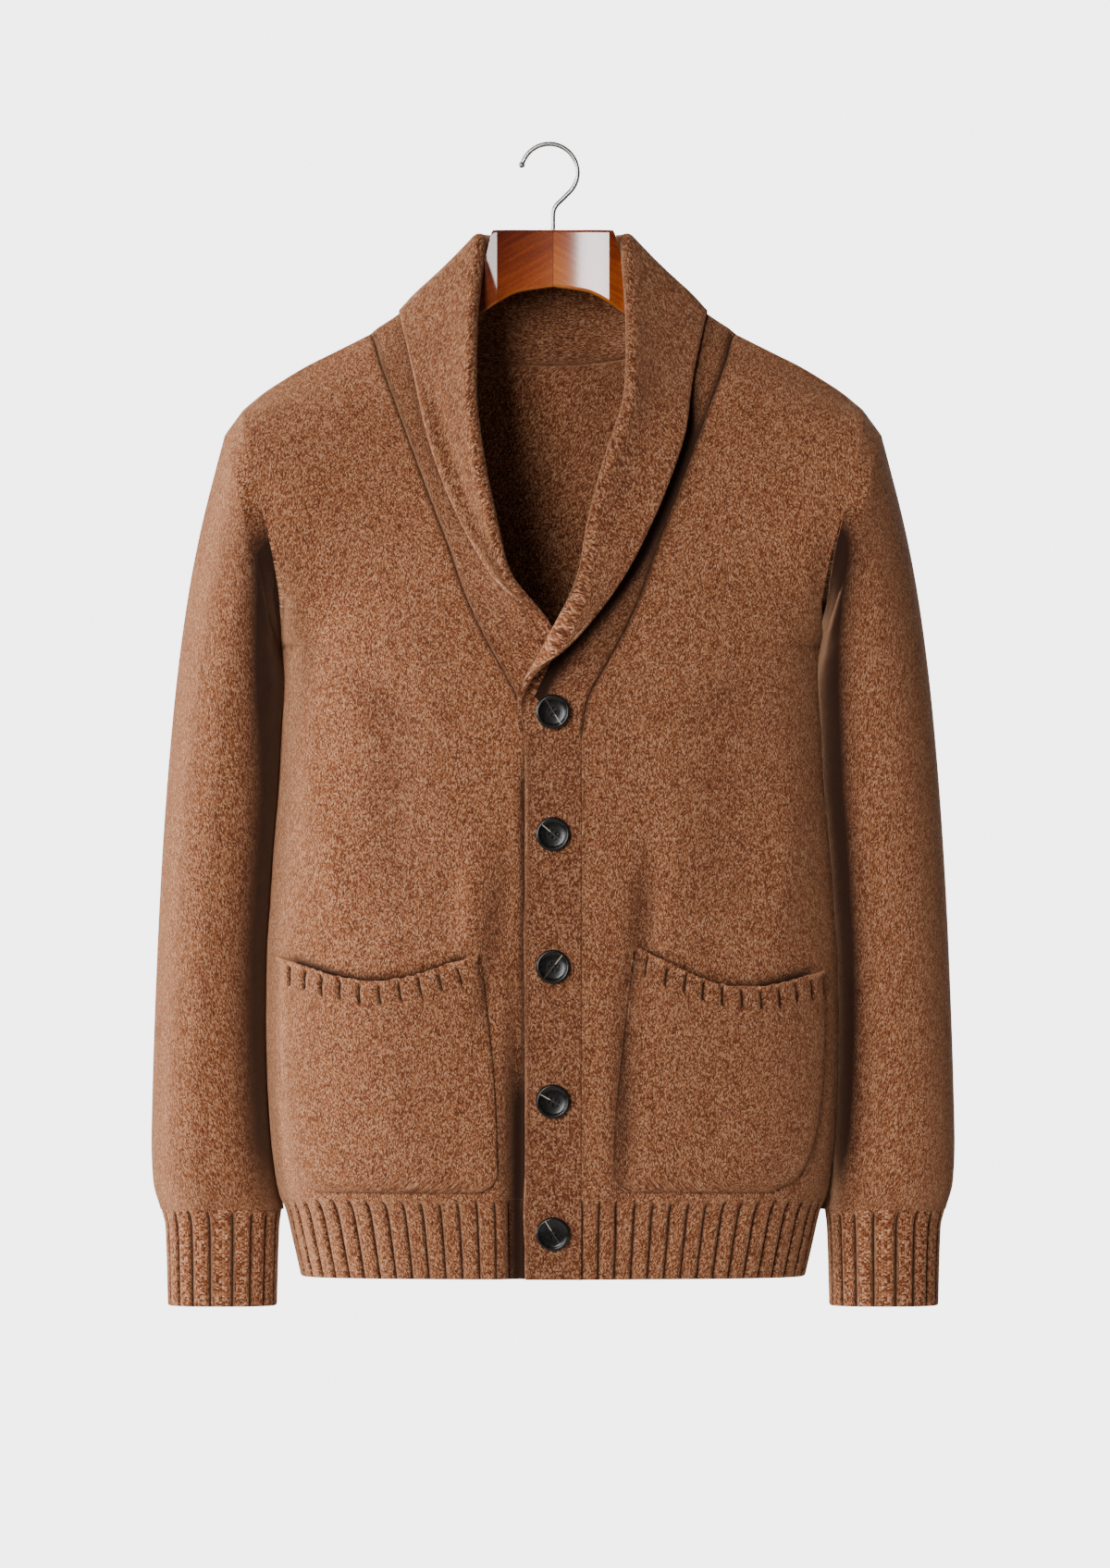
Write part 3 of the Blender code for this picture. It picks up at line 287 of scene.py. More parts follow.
def curves(rows, key=None):
    """A smooth curve for each column of a table, against its key column or, without one, the row's number."""
    keys = [getattr(row, key) if key else number for number, row in enumerate(rows)]
    names = [name for name in rows[0]._fields if name != key]
    return {name: smooth_curve(keys, [getattr(row, name) for row in rows]) for name in names}


def values_at(columns, at):
    return {name: float(curve(at)) for name, curve in columns.items()}


half_width_at, front_depth_at, back_depth_at = curves(BODY_SECTIONS, "z").values()
seam_x_at, seam_depth_at = curves(FRONT_SEAM, "z").values()
armhole_x_at, = curves(ARMHOLE, "z").values()
ridge_z_at, = curves(SHOULDER_RIDGE, "x").values()


def mix(a, b, t):
    return a + (b - a) * t


def ease(t):
    t = np.clip(t, 0.0, 1.0)
    return t * t * (3 - 2 * t)


def below(z, top, reach):
    """0 down to a height, and from there growing to 1 over a reach."""
    return ease((top - z) / reach)


def above(z, foot, reach):
    """0 up to a height, and from there growing to 1 over a reach."""
    return ease((z - foot) / reach)


def peak(off, width):
    """1 at no distance, falling to a third at the width."""
    return np.exp(-(off / width) ** 2)


def unit(vectors):
    return vectors / np.maximum(np.linalg.norm(vectors, axis=-1, keepdims=True), 1e-9)


def run_along(points, axis=0):
    """How far each point of a path lies along it, or each point of a grid along one of its axes."""
    steps = np.linalg.norm(np.diff(points, axis=axis), axis=-1)
    return np.cumsum(np.insert(steps, 0, 0.0, axis=axis), axis=axis)


def distances(grid):
    """How far each point lies from its grid's first row, last row, first column and last column."""
    down, across = run_along(grid, 0), run_along(grid, 1)
    return down, down[-1:] - down, across, across[:, -1:] - across


def places_along(path, fractions):
    lengths = run_along(path)
    at = np.asarray(fractions) * lengths[-1]
    return np.stack([np.interp(at, lengths, path[:, axis]) for axis in range(3)], axis=-1)


def even_with_rims(count, length, rim=EDGE_ROUND):
    """Fractions of a length, even but for closer ones where its two edges are rounded."""
    near = RIM_STEPS * rim / length
    return np.concatenate((near[:-1], np.linspace(near[-1], 1 - near[-1], count), 1 - near[-2::-1]))


def smoothed(values, passes):
    """Neighbours averaged along the first axis, its two ends kept."""
    values = values.copy()
    for _ in range(passes):
        values[1:-1] = (values[:-2] + 2 * values[1:-1] + values[2:]) / 4
    return values


def grid_normals(grid, outwards, closed=False):
    """Unit normals of a grid of points, on the side that `outwards` shows at mid grid."""
    if closed:
        across = np.roll(grid, -1, axis=1) - np.roll(grid, 1, axis=1)
    else:
        across = np.gradient(grid, axis=1)
    normals = unit(np.cross(across, np.gradient(grid, axis=0)))
    middle = normals[len(grid) // 2, grid.shape[1] // 2]
    return -normals if middle @ np.asarray(outwards, float) < 0 else normals


def levelled(normals):
    return unit(normals * np.array([1.0, 1.0, 0.0]))


def flattened(normals, axis):
    """Normals turned square to an axis, as at an edge that meets its mirror image."""
    normals = normals.copy()
    normals[..., axis] = 0.0
    return unit(normals)


def on_hand(grid, hand):
    """What is drawn for the wearer's left, on the wearer's left (hand 1) or right (hand -1)."""
    return grid * np.array([hand, 1.0, 1.0])


def both_halves(half):
    """The left half and its mirror image, from a half whose last column is the middle."""
    other = half[:, -2::-1]
    return np.concatenate((half, on_hand(other, -1) if half.ndim == 3 else other), axis=1)


def oval(turn, side, roundness=2.2):
    """A place on a slightly square oval, from -1 to 1 both ways."""
    across = np.abs(np.cos(turn)) ** (2 / roundness) * np.sign(np.cos(turn))
    return across, side * np.abs(np.sin(turn)) ** (2 / roundness)


def fold_height(folds, x, z):
    """How far the creases lift the cloth at places seen from the front."""
    height = np.zeros(np.broadcast(x, z).shape)
    for fold in folds:
        run = np.array([fold.foot_x - fold.top_x, fold.foot_z - fold.top_z], float)
        t = np.clip(((x - fold.top_x) * run[0] + (z - fold.top_z) * run[1]) / (run @ run), 0, 1)
        off = np.hypot(x - fold.top_x - run[0] * t, z - fold.top_z - run[1] * t)
        height += fold.height * peak(off, fold.width) * np.sin(pi * (0.1 + 0.8 * t))
    return height


# ---- Walls of knitting ----

def quads(numbers):
    """Four-sided faces between points whose numbers are given row by row."""
    corners = [numbers[:-1, :-1], numbers[:-1, 1:], numbers[1:, 1:], numbers[1:, :-1]]
    return np.stack(corners, axis=-1).reshape(-1, 4)


def edge_drop(grid, rims):
    """How far each point lies under its skin, where the edges are rounded by their own radii."""
    drop = np.zeros(grid.shape[:2])
    for reach, rim in zip(distances(grid), rims):
        rim = np.asarray(rim, float)
        inside = np.clip(rim - reach, 0.0, rim)
        drop = np.maximum(drop, rim - np.sqrt(rim * rim - inside * inside))
    return drop


def knit_wall(name, material, grid, normals, thickness, uv, rims, closed=False,
              relief=0.0, bend=0.0, hollow=0.0, nodes=None):
    """A closed wall of knitting from its outer points, with rounded edges and a UV map in metres of cloth.

    rims are the edges' radii at the first row, last row, first column and last column. relief moves outer
    points along their normals over a plain inside, and bend moves the whole wall. hollow is the painted
    shade at each outer point, deepest in grooves, creases and folds, which the material darkens the wool
    by; below 0 it is a painted highlight. nodes are the solids that the wall stands for.
    """
    rows, columns = grid.shape[:2]
    lift, shift = (np.broadcast_to(amount, (rows, columns))[..., None] for amount in (relief, bend))
    drop = edge_drop(grid, rims)[..., None]
    middle = grid + normals * shift
    points = np.stack((middle + normals * (lift - drop), middle + normals * (drop - thickness)))
    number = np.arange(2 * rows * columns).reshape(2, rows, columns)
    if closed:
        number = np.concatenate((number, number[:, :, :1]), axis=2)
    faces = [quads(number[0]), quads(number[1])[:, ::-1], quads(number[::-1, 0]), quads(number[:, -1])]
    if not closed:
        faces += [quads(number[:, :, 0]), quads(number[::-1, :, -1])]
    faces = np.concatenate(faces)
    corners = faces % (rows * columns)
    corner_uv = uv.reshape(-1, 2)[corners] * MM
    if closed:
        # The last span runs on past the seam
        column = corners % columns
        wraps = (np.ptp(column, axis=1) == columns - 1)[:, None] & (column == 0)
        corner_uv[..., 0] += wraps * (uv[0, 1, 0] * MM * columns)
    piece = add_mesh(name + "_knit", points.reshape(-1, 3), faces.tolist(), corner_uv)
    # Painted shade for the material, on the outer skin only
    depth = np.zeros((2, rows, columns))
    depth[0] = hollow
    mark_points(piece, "hollow", depth)
    dress(piece, nodes or (name,), material)


def mark_points(piece, name, values):
    """Gives each point a value that the piece's material reads."""
    layer = piece.data.attributes.new(name, "FLOAT", "POINT")
    layer.data.foreach_set("value", np.asarray(values, np.float32).ravel())


def add_mesh(name, points, faces, corner_uv=None, smooth_angle=None, uv_name="Knit"):
    """An object from points in millimetres, its faces turned outwards."""
    mesh = bpy.data.meshes.new(name)
    mesh.from_pydata((np.asarray(points) * MM).tolist(), [], faces)
    if corner_uv is not None:
        layer = mesh.uv_layers.new(name=uv_name)
        layer.data.foreach_set("uv", np.asarray(corner_uv, np.float32).ravel())
    shape = bmesh.new()
    shape.from_mesh(mesh)
    bmesh.ops.recalc_face_normals(shape, faces=shape.faces)
    shape.to_mesh(mesh)
    shape.free()
    mesh.shade_smooth()
    if smooth_angle:
        mesh.set_sharp_from_angle(angle=radians(smooth_angle))
    return add_object(name, mesh)


def add_object(name, data):
    made = bpy.data.objects.new(name, data)
    bpy.context.scene.collection.objects.link(made)
    return made


# ---- The armhole, which fronts, back and sleeves share ----

def armhole_point(turn, side):
    """The armhole loop: turn 0 is the shoulder tip and pi the underarm; side -1 is the front."""
    z = mix(SHOULDER_TIP_Z, UNDERARM_Z, (1 - cos(turn)) / 2)
    return np.array([float(armhole_x_at(z)), side * ARMHOLE_DEPTH * sin(turn), z])


def armhole_normal(turn, side):
    half = (SHOULDER_TIP_Z - UNDERARM_Z) / 2
    across = unit(np.array([0.0, side * sin(turn) / ARMHOLE_DEPTH, cos(turn) / half]))
    across[0] = UNDERARM_LEAN * max(0.0, -cos(turn)) ** 5
    return unit(across)


def set_side_normals(normals, side, column=0, hand=1):
    """Squares a wall's side edge to its seam: the side seam, and above the underarm the armhole."""
    below = len(BODY_HEIGHTS)
    normals[:below, column] = flattened(normals[:below, column], 1)
    for step, share in enumerate(UPPER_SHARES):
        normals[below + step, column] = armhole_normal(pi * (1 - share), side) * np.array([hand, 1.0, 1.0])


def ridge_normal(x):
    """Square to the shoulder seam."""
    near = np.maximum(np.abs(x) - 2.0, SHOULDER_RIDGE[0].x)
    far = np.minimum(np.abs(x) + 2.0, SHOULDER_RIDGE[-1].x)
    fall = ridge_z_at(near) - ridge_z_at(far)
    return unit(np.stack([fall * np.sign(x), np.zeros_like(x), far - near], axis=-1))


# ---- Fronts and back ----

BODY_RIM = 1.3
ROW_MARGIN = 4.0          # between the rounded edge's rows and the even ones
BODY_HEIGHTS = np.concatenate((HEM_SEAM_Z + BODY_RIM * RIM_STEPS,
                               np.linspace(HEM_SEAM_Z + ROW_MARGIN, UNDERARM_Z - ROW_MARGIN, BODY_ROWS)))
UPPER_HEIGHT = NECK_Z - UNDERARM_Z
UPPER_SHARES = np.concatenate((np.linspace(0.0, 1 - ROW_MARGIN / UPPER_HEIGHT, UPPER_ROWS),
                               1 - BODY_RIM * RIM_STEPS[::-1] / UPPER_HEIGHT))


def row_path(start, end, power, top_shape=None, top_share=0.0):
    """A row of a panel from its side to its centre, as a fine path that rounds away from the side."""
    fullness = (1 - (end[0] / start[0]) ** SECTION_POWER) ** (1 / power)
    x = mix(start[0], end[0], 1 - np.cos(np.linspace(0, pi / 2, FINE_STEPS + 1)))
    bulge = (1 - np.minimum(x / start[0], 1.0) ** SECTION_POWER) ** (1 / power) / fullness
    if top_shape:
        bulge = mix(bulge, top_shape(x), top_share)
    share = (start[0] - x) / (start[0] - end[0])
    return np.stack([x, mix(start[1], end[1], bulge), mix(start[2], end[2], share)], axis=-1)


def upper_power(share):
    return mix(ARMHOLE_POWER, SECTION_POWER, ease(1 - share / 0.35))


def body_row(side, hand, z):
    """A level row under the armhole, from the side seam to a front's edge or, at side 1, to mid back."""
    width = float(half_width_at(z))
    depth = float(front_depth_at(z) if side < 0 else back_depth_at(z))
    end_x = float(seam_x_at(z)) if side < 0 else 0.0
    fullness = (1 - (end_x / width) ** SECTION_POWER) ** (1 / SECTION_POWER)
    path = row_path((width, 0.0, z), (end_x, side * depth * fullness, z), SECTION_POWER)
    return creased_front(path, hand) if side < 0 else path


def creased_front(path, hand, share_up=0.0):
    """A row of a front with its creases and, on the wearer's left, its lift over the bands."""
    part = run_along(path) / run_along(path)[-1]
    calm = ease(part * 6) * ease((1 - part) * (6 if hand > 0 else 20)) * (1 - ease(share_up * 8 - 7))
    path = path.copy()
    x, z = path[:, 0].copy(), path[:, 2]
    path[:, 1] -= calm * fold_height(FRONT_FOLDS, hand * x, z)
    path[:, 1] += MOUTH_TROUGH * mouth_line(hand, x, z, 5.0)
    if hand > 0:
        beside_band = ease(1 - (x - BAND_HALF_WIDTH) / BAND_LIFT_REACH)
        path[:, 1] -= BAND_LIFT * below(z, -350.0, 50.0) * beside_band
    else:
        path[:, 1] -= fold_height(PLACKET_FOLD, -x, z)
    return path


def mouth_line(hand, x, z, width):
    """1 just above a pocket's mouth and less away from it, on a front drawn for the wearer's left."""
    mouth = POCKETS[hand][0]
    share = np.clip((x - mouth.inner_x) / (mouth.outer_x - mouth.inner_x), 0.0, 1.0)
    lip = mix(mouth.inner_z, mouth.outer_z, share) - mouth.sag * np.sin(pi * share)
    return peak(z - lip - 1.0, width) * ease(share * 8) * ease((1 - share) * 8)


def front_grid(hand):
    """Outer points, normals and cloth coordinates of one front, drawn for the wearer's left."""
    fractions = even_with_rims(FRONT_COLUMNS, 220.0)
    rows = [places_along(body_row(-1, hand, z), fractions) for z in BODY_HEIGHTS]
    for share in UPPER_SHARES:
        z = mix(UNDERARM_Z, NECK_Z, share)
        end = (float(seam_x_at(z)), -float(seam_depth_at(z)), z)
        path = row_path(armhole_point(pi * (1 - share), -1), end, upper_power(share))
        near_top = ease((share - 0.88) / 0.12) ** 2
        path[:, 2] = mix(path[:, 2], ridge_z_at(path[:, 0]), near_top)
        path[:, 1] *= 1 - near_top
        rows.append(places_along(creased_front(path, hand, share), fractions))
    grid = np.array(rows)
    normals = grid_normals(grid, (0, -1, 0))
    set_side_normals(normals, -1)
    normals[-1, 1:] = ridge_normal(grid[-1, 1:, 0])
    beside_band = grid[:, -1, 2] <= BAND_TOP_Z
    normals[beside_band, -1] = flattened(normals[beside_band, -1], 0)
    return grid, normals, cloth_uv(grid, from_end=True)


def cloth_uv(grid, from_end=False, closed=False):
    """Cloth coordinates: wales run up the columns, and courses along the rows."""
    u, v = run_along(grid, 1), run_along(grid, 0)
    if from_end:
        u = u[:, -1:] - u + grid[:, -1:, 0]
    if closed:
        girth = u[:, -1] + np.linalg.norm(grid[:, -1] - grid[:, 0], axis=-1)
        u = np.arange(grid.shape[1]) * girth.mean() / grid.shape[1] + 0 * u
    return np.stack([u, v], axis=-1)


SHOULDER_SHARE = 0.4      # of a row of the back's half; the rest lies under the neckline


def below_neck_shape(x):
    return np.maximum(0.0, 1 - (np.minimum(x, 170.0) / 170.0) ** 3) ** 1.3


def back_top_row(fractions):
    """The shoulder seam, then the back neckline to its centre."""
    on_seam = fractions <= SHOULDER_SHARE
    x = mix(SHOULDER_RIDGE[-1].x, NECK_X, fractions[on_seam] / SHOULDER_SHARE)
    seam = np.stack([x, 0 * x, ridge_z_at(x)], axis=-1)
    shares = (fractions[~on_seam] - SHOULDER_SHARE) / (1 - SHOULDER_SHARE)
    x = NECK_X * np.linspace(1, 0, FINE_STEPS + 1)
    neckline = places_along(np.stack([x, BACK_NECK_DEPTH * (1 - (x / NECK_X) ** 2), 0 * x], axis=-1), shares)
    neckline[:, 2] = mix(NECK_Z, BACK_NECK_Z, ease(shares))
    return np.concatenate((seam, neckline))


def back_grid():
    """Outer points, normals and cloth coordinates of the back, from the left side to the right."""
    fractions = even_with_rims(BACK_COLUMNS, 300.0)
    fractions = fractions[fractions < 0.5]
    fractions = np.append(fractions / fractions.max() * 0.994, 1.0)
    rows = [places_along(body_row(1, 1, z), fractions) for z in BODY_HEIGHTS]
    top = back_top_row(fractions)
    for share in UPPER_SHARES[:-1]:
        depth = mix(float(back_depth_at(UNDERARM_Z)), BACK_NECK_DEPTH, share ** 2)
        end = (0.0, depth, mix(UNDERARM_Z, BACK_NECK_Z, share))
        top_share = 1 - (1 - max(0.0, 2 * share - 1) ** 2) ** 0.5
        start = armhole_point(pi * (1 - share), 1)
        path = row_path(start, end, upper_power(share), below_neck_shape, top_share)
        row = places_along(path, fractions)
        row[:, 2] += (top[:, 2] - mix(top[0, 2], top[-1, 2], fractions)) * share ** 2
        rows.append(mix(row, top, ease((share - 0.85) / 0.15) ** 2))
    grid = both_halves(np.array(rows + [top]))
    # The folds die out towards the side seams and the shoulders
    across = np.linspace(0, 22, grid.shape[1])
    up = np.arange(len(grid))[:, None] / len(grid)
    calm = ease(across / 3) * ease((22 - across) / 3) * (1 - ease((up - 0.85) / 0.1))
    grid[..., 1] += calm * fold_height(BACK_FOLDS, grid[..., 0], grid[..., 2])
    normals = grid_normals(grid, (0, 1, 0))
    set_side_normals(normals, 1)
    set_side_normals(normals, 1, -1, -1)
    on_seam = np.abs(grid[-1, :, 0]) >= NECK_X - 0.01
    on_seam[[0, -1]] = False
    normals[-1, on_seam] = ridge_normal(grid[-1, on_seam, 0])
    return grid, normals, cloth_uv(grid)


# ---- Ribs ----

def rib_fractions(ribs):
    return np.array([(k + phase) / ribs for k in range(ribs) for phase in RIB_PHASES] + [1.0])


def rib_hollow(fractions, ribs, pitch):
    """How deep in a groove each column lies, from 0 on a rib to 1."""
    phase = (fractions * ribs) % 1.0
    return peak(np.minimum(phase, 1 - phase) * pitch, GROOVE_WIDTH)


def rib_relief(fractions, ribs, hollow):
    """Deep narrow grooves between round-shouldered ribs."""
    phase = (fractions * ribs) % 1.0
    return -(GROOVE_DEPTH - RIB_ROUND) * hollow - RIB_ROUND * np.abs(2 * phase - 1) ** 3


def ribbed_ease(grid):
    """Grooves start a little under their seam, none at quite the same height."""
    from_seam = grid[:1, :, 2] - grid[..., 2]
    return ease((from_seam - 1.0 - 0.9 * np.sin(np.arange(grid.shape[1]) * 0.7)) / 2.5)


def hem_grid(side, hand):
    """Rows of the ribbed hem from its seam down, round to a front's edge or the back's centre."""
    length = HEM_SEAM_Z - HEM_Z
    heights = HEM_Z + length * even_with_rims(22, length)
    return np.array([places_along(body_row(side, hand, z), rib_fractions(HEM_RIBS)) for z in heights[::-1]])


def cuff_grid():
    """Rings of the left cuff from its seam down."""
    length = CUFF_SEAM_Z - CUFF_Z
    angles = 2 * pi * rib_fractions(CUFF_RIBS)[:-1]
    across, depth = oval(angles, np.sign(np.sin(angles)))
    columns = curves(CUFF_RINGS, "z")
    rows = []
    for z in CUFF_SEAM_Z - length * even_with_rims(24, length):
        at = values_at(columns, z)
        rows.append(np.stack([mix(at["inner_x"], at["outer_x"], (1 + across) / 2),
                              SLEEVE_RINGS[-1].middle_y + depth * at["half_depth"], 0 * across + z], axis=-1))
    return np.array(rows)


# ---- Sleeves ----

def body_half_width(y, z):
    """How far out the body's side reaches at depth y."""
    depth = np.where(y < 0, front_depth_at(z), back_depth_at(z))
    reach = np.minimum(np.abs(y) / depth, 1.0)
    return half_width_at(z) * (1 - reach ** SECTION_POWER) ** (1 / SECTION_POWER)


def sleeve_grid():
    """Rings from the armhole to the cuff's seam, on the wearer's left."""
    half = SLEEVE_COLUMNS // 2
    turns = [(pi * k / half, -1) for k in range(half + 1)]
    turns += [(pi * (1 - k / half), 1) for k in range(1, half)]
    across, depth = oval(*np.array(turns).T)
    columns = curves(SLEEVE_RINGS)

    def ring(number):
        at = values_at(columns, number)
        far = np.array([at["outer_x"], at["middle_y"], at["outer_z"]])
        near_x = float(half_width_at(at["inner_z"])) + SLEEVE_GAP - at["tuck"]
        near = np.array([near_x, at["middle_y"], at["inner_z"]])
        points = (far + near) / 2 + (far - near) / 2 * across[:, None]
        points[:, 1] += depth * at["half_depth"]
        # Just under the armhole the sleeve presses into the body
        pressed = SLEEVE_PRESSED * above(points[:, 2], -412.0, 30.0)
        least = body_half_width(points[:, 1], points[:, 2]) + SLEEVE_GAP - pressed
        points[:, 0] = np.maximum(points[:, 0], least)
        return points

    first = np.array([armhole_point(*turn) for turn in turns])
    second = ring(0.0)
    near = BODY_RIM * RIM_STEPS / np.linalg.norm(second - first, axis=-1).mean()
    opening = np.unique(np.concatenate((near, np.linspace(near[-1], 1.0, 8)[1:-1])))
    numbers = (len(SLEEVE_RINGS) - 1) * even_with_rims(SLEEVE_ROWS, 560.0)
    grid = np.array([mix(first, second, t) for t in opening] + [ring(number) for number in numbers[2:]])
    normals = grid_normals(grid, (-1, 0, 0), closed=True)
    normals[0] = [armhole_normal(*turn) for turn in turns]
    normals[-1] = levelled(normals[-1])
    return grid, normals


# ---- Collar and bands, one long strip ----

def collar_line(seam, normal, along, fold):
    """The middle of the collar's cloth in one section: the stand, the arc over the roll, and the fall."""
    foot = seam - normal * (STRIP_CLOTH / 2)
    roll = np.array(fold["roll"])
    reach = np.linalg.norm(roll - foot)
    up = (roll - foot) / reach
    out = unit(np.cross(along, up))
    out = -out if out @ normal < 0 else out
    turn = max(radians(fold["turn"]), 0.02)
    radius = fold["arc"] / turn
    share = np.linspace(0, 1, STAND_POINTS)[:, None]
    stand = foot + (roll - foot) * share - out * fold["sag"] * np.sin(pi * share)
    angle = turn * np.linspace(0, 1, ARC_POINTS + 1)[1:, None]
    arc = roll + out * radius + (up * np.sin(angle) - out * np.cos(angle)) * radius
    share = even_with_rims(FALL_POINTS, max(fold["fall"], 6.0))[FALL_POINTS // 2:, None]
    share = ((share - share[0]) / (1 - share[0]))[1:]
    comes_in = (FALL_SETTLES * share * min(fold["fall"] / SETTLED_FALL, 1.0)
                + fold["sag"] * np.sin(pi * (1 - fold["fall"] * share / reach)))
    fall = arc[-1] + (up * cos(turn) + out * sin(turn)) * fold["fall"] * share - out * comes_in * turn / pi
    return np.concatenate((stand, arc, fall))


def collar_sections(edges):
    """Seam points, their normals and fold sizes, from the left band's top round to the right's."""
    columns = curves(COLLAR_SECTIONS, "z")
    sides = []
    for hand, lies in ((1, "over_"), (-1, "under_")):
        side = []
        for point, normal in edges[hand]:
            if point[2] < BAND_TOP_Z + 0.5:
                continue
            at = values_at(columns, point[2])
            fold = {name: at[lies + name] for name in ("arc", "turn", "fall")}
            lift = at["over_lift"] if hand > 0 else 0.0
            fold.update(sag=at["sag"], roll=(hand * at[lies + "x"], at["y"] - lift, at["roll_z"]))
            side.append((point, normal, fold))
        sides.append(side)
    back = []
    last = COLLAR_SECTIONS[-1]
    angles = np.linspace(0, pi, len(edges[0]))
    for (point, normal), angle in zip(edges[0][1:-1], angles[1:-1]):
        share = sin(angle)
        roll = (last.over_x * cos(angle), mix(last.y, BACK_ROLL_Y, share),
                mix(last.roll_z, BACK_ROLL_Z, share))
        back.append((point, normal, {"arc": last.over_arc, "turn": 180, "sag": last.sag * (1 - share),
                                     "fall": mix(last.over_fall, BACK_FALL, share), "roll": roll}))
    return sides[0] + back + sides[1][::-1]


def band_rows(hand, columns):
    """Rows of one straight band from the hem up to the collar, at the middle of its cloth."""
    length = BAND_TOP_Z - HEM_Z
    rows = []
    for z in HEM_Z + length * even_with_rims(100, length)[:-3]:
        # The free edge isn't quite straight
        wander = 0.9 * sin(z / 29.0) + 0.5 * sin(z / 11.0)
        x = hand * mix(FRONT_SEAM[-1].x, wander - BAND_HALF_WIDTH, columns)
        lift = BAND_LIFT if hand > 0 else fold_height(PLACKET_FOLD, x, z)
        y = STRIP_CLOTH / 2 - float(front_depth_at(z)) - lift
        rows.append(np.stack([x, 0 * x + y, 0 * x + z], axis=-1))
    return rows


def strip_grid(edges):
    """The middle of the whole strip's cloth, from the left hem up, round the neck and down again."""
    sections = collar_sections(edges)
    along = unit(smoothed(unit(np.gradient(np.array([seam for seam, _, _ in sections]), axis=0)), 24))
    rows = [collar_line(seam, normal, direction, fold)
            for (seam, normal, fold), direction in zip(sections, along)]
    columns = run_along(rows[0]) / run_along(rows[0])[-1]
    grid = np.array(band_rows(1, columns) + rows + band_rows(-1, columns)[::-1])
    # Smoothing leaves the seam's edge where it is
    return mix(grid, smoothed(grid, 10), np.linspace(0, 1, grid.shape[1])[:, None] ** 0.5)


def strip_uv(grid):
    """Cloth coordinates of the collar and bands, whose wales run along the strip and courses across it."""
    across = run_along(grid, 1)
    # The strip widens gently in its cloth, so that its wales hardly lean
    u = smoothed(across[:, -1], 300)[:, None] * across.mean(axis=0) / across[:, -1].mean()
    v = run_along(grid, 0)[:, STAND_POINTS:].mean(axis=1)[:, None]
    return np.stack([u, v + 0 * u], axis=-1)


# ---- Painted shade where cloth lies against cloth, and the cloth's shape where it is pressed ----

def along_band(z):
    """1 along the straight bands and 0 up the collar."""
    return below(z, BAND_TOP_Z + 8.0, 16.0)


def band_ridge(reach, z):
    return BAND_RIDGE * along_band(z) * peak(reach, 3.2)


SEAM_SHADE = 0.75
SEAM_SHADE_WIDTH = 1.8


def seam_line(reach, z):
    """Painted shade along the seam between a front and the collar, which lies a little sunk."""
    return SEAM_SHADE * (1 - along_band(z)) * peak(reach, SEAM_SHADE_WIDTH)


ARMHOLE_CREASE = 6.0
ARMHOLE_CREASE_WIDTH = 13.0


def armhole_crease(reach, z):
    """The cloth sinks beside the armhole's seam, most of all a little above the underarm."""
    grows = below(z, -215.0, 80.0) * above(z, UNDERARM_Z, 45.0)
    return -ARMHOLE_CREASE * grows * peak(reach, ARMHOLE_CREASE_WIDTH)


# Amounts and widths of painted shade, where 1 gives the wool's near-black shade colour
TUCK_SHADE = {1: 1.8, -1: 1.15}
TUCK_WIDTH = {1: 14.0, -1: 21.0}
UNDERARM_SHADE = {1: 0.0, -1: 0.8}     # more of it just under the underarm
MOUTH_SHADE = 1.3
TROUGH_SHADE = 0.07       # for each millimetre of a crease's depth
VALLEY_SHADE = 1.1        # in the fold under the closing band, low on the right front
BAND_SHADE = 0.8          # of the top band on the right front's edge


def tucked_shade(grid, hand):
    """Painted shade on each place of a sleeve, deepest in the fold between the sleeve and the body.

    The wearer's right sleeve turns in slowly and darkens over a wide strip, and the left turns in sharply.
    """
    x, z = np.abs(grid[..., 0]), grid[..., 2]
    side = np.where(z > UNDERARM_Z, armhole_x_at(z), half_width_at(z))
    depth = TUCK_SHADE[hand] + UNDERARM_SHADE[hand] * peak(z + 375.0, 60.0)
    grows = below(z, -250.0, 60.0) * above(z, -800.0, 80.0)
    return depth * grows * peak(np.maximum(x - side, 0.0), TUCK_WIDTH[hand])


def front_shade(hand, grid):
    """Painted shade on each place of a front: behind a pocket's mouth, in a crease and beside the top band.
    """
    x, z = np.abs(grid[..., 0]), grid[..., 2]
    shade = np.maximum(MOUTH_SHADE * mouth_line(hand, x, z, 4.4),
                       -TROUGH_SHADE * fold_height(FRONT_FOLDS, hand * x, z))
    if hand > 0:
        return shade
    valley = VALLEY_SHADE * below(z, -620.0, 90.0) * peak(np.maximum(x - 25.0, 0.0), 9.0)
    seam = BAND_SHADE * below(z, BAND_TOP_Z, 40.0) * peak(x - 22.0, 4.0)
    return np.maximum(shade, np.maximum(valley, seam))


# ---- Materials ----

def linear(code):
    """An sRGB hex colour as linear RGBA."""
    channels = [int(code[k:k + 2], 16) / 255 for k in (1, 3, 5)]
    return [c / 12.92 if c <= 0.04045 else ((c + 0.055) / 1.055) ** 2.4 for c in channels] + [1.0]


def node(tree, kind, *inputs, numbered=None, **named):
    """Adds a node, as "Math SINE" or another kind and, for some, its operation.

    Inputs come in the order of their sockets, by number, or by a name with a capital, and the node's own
    settings have small letters. A node given as an input is linked by its first output.
    """
    kind, *operation = kind.split()
    made = tree.nodes.new("ShaderNode" + kind)
    if operation:
        made.operation = operation[0]
    sockets = dict(enumerate(inputs)) | (numbered or {})
    for name, value in named.items():
        if name[0].isupper():
            sockets[name] = value
        else:
            setattr(made, name, value)
    set_inputs(made, sockets)
    return made


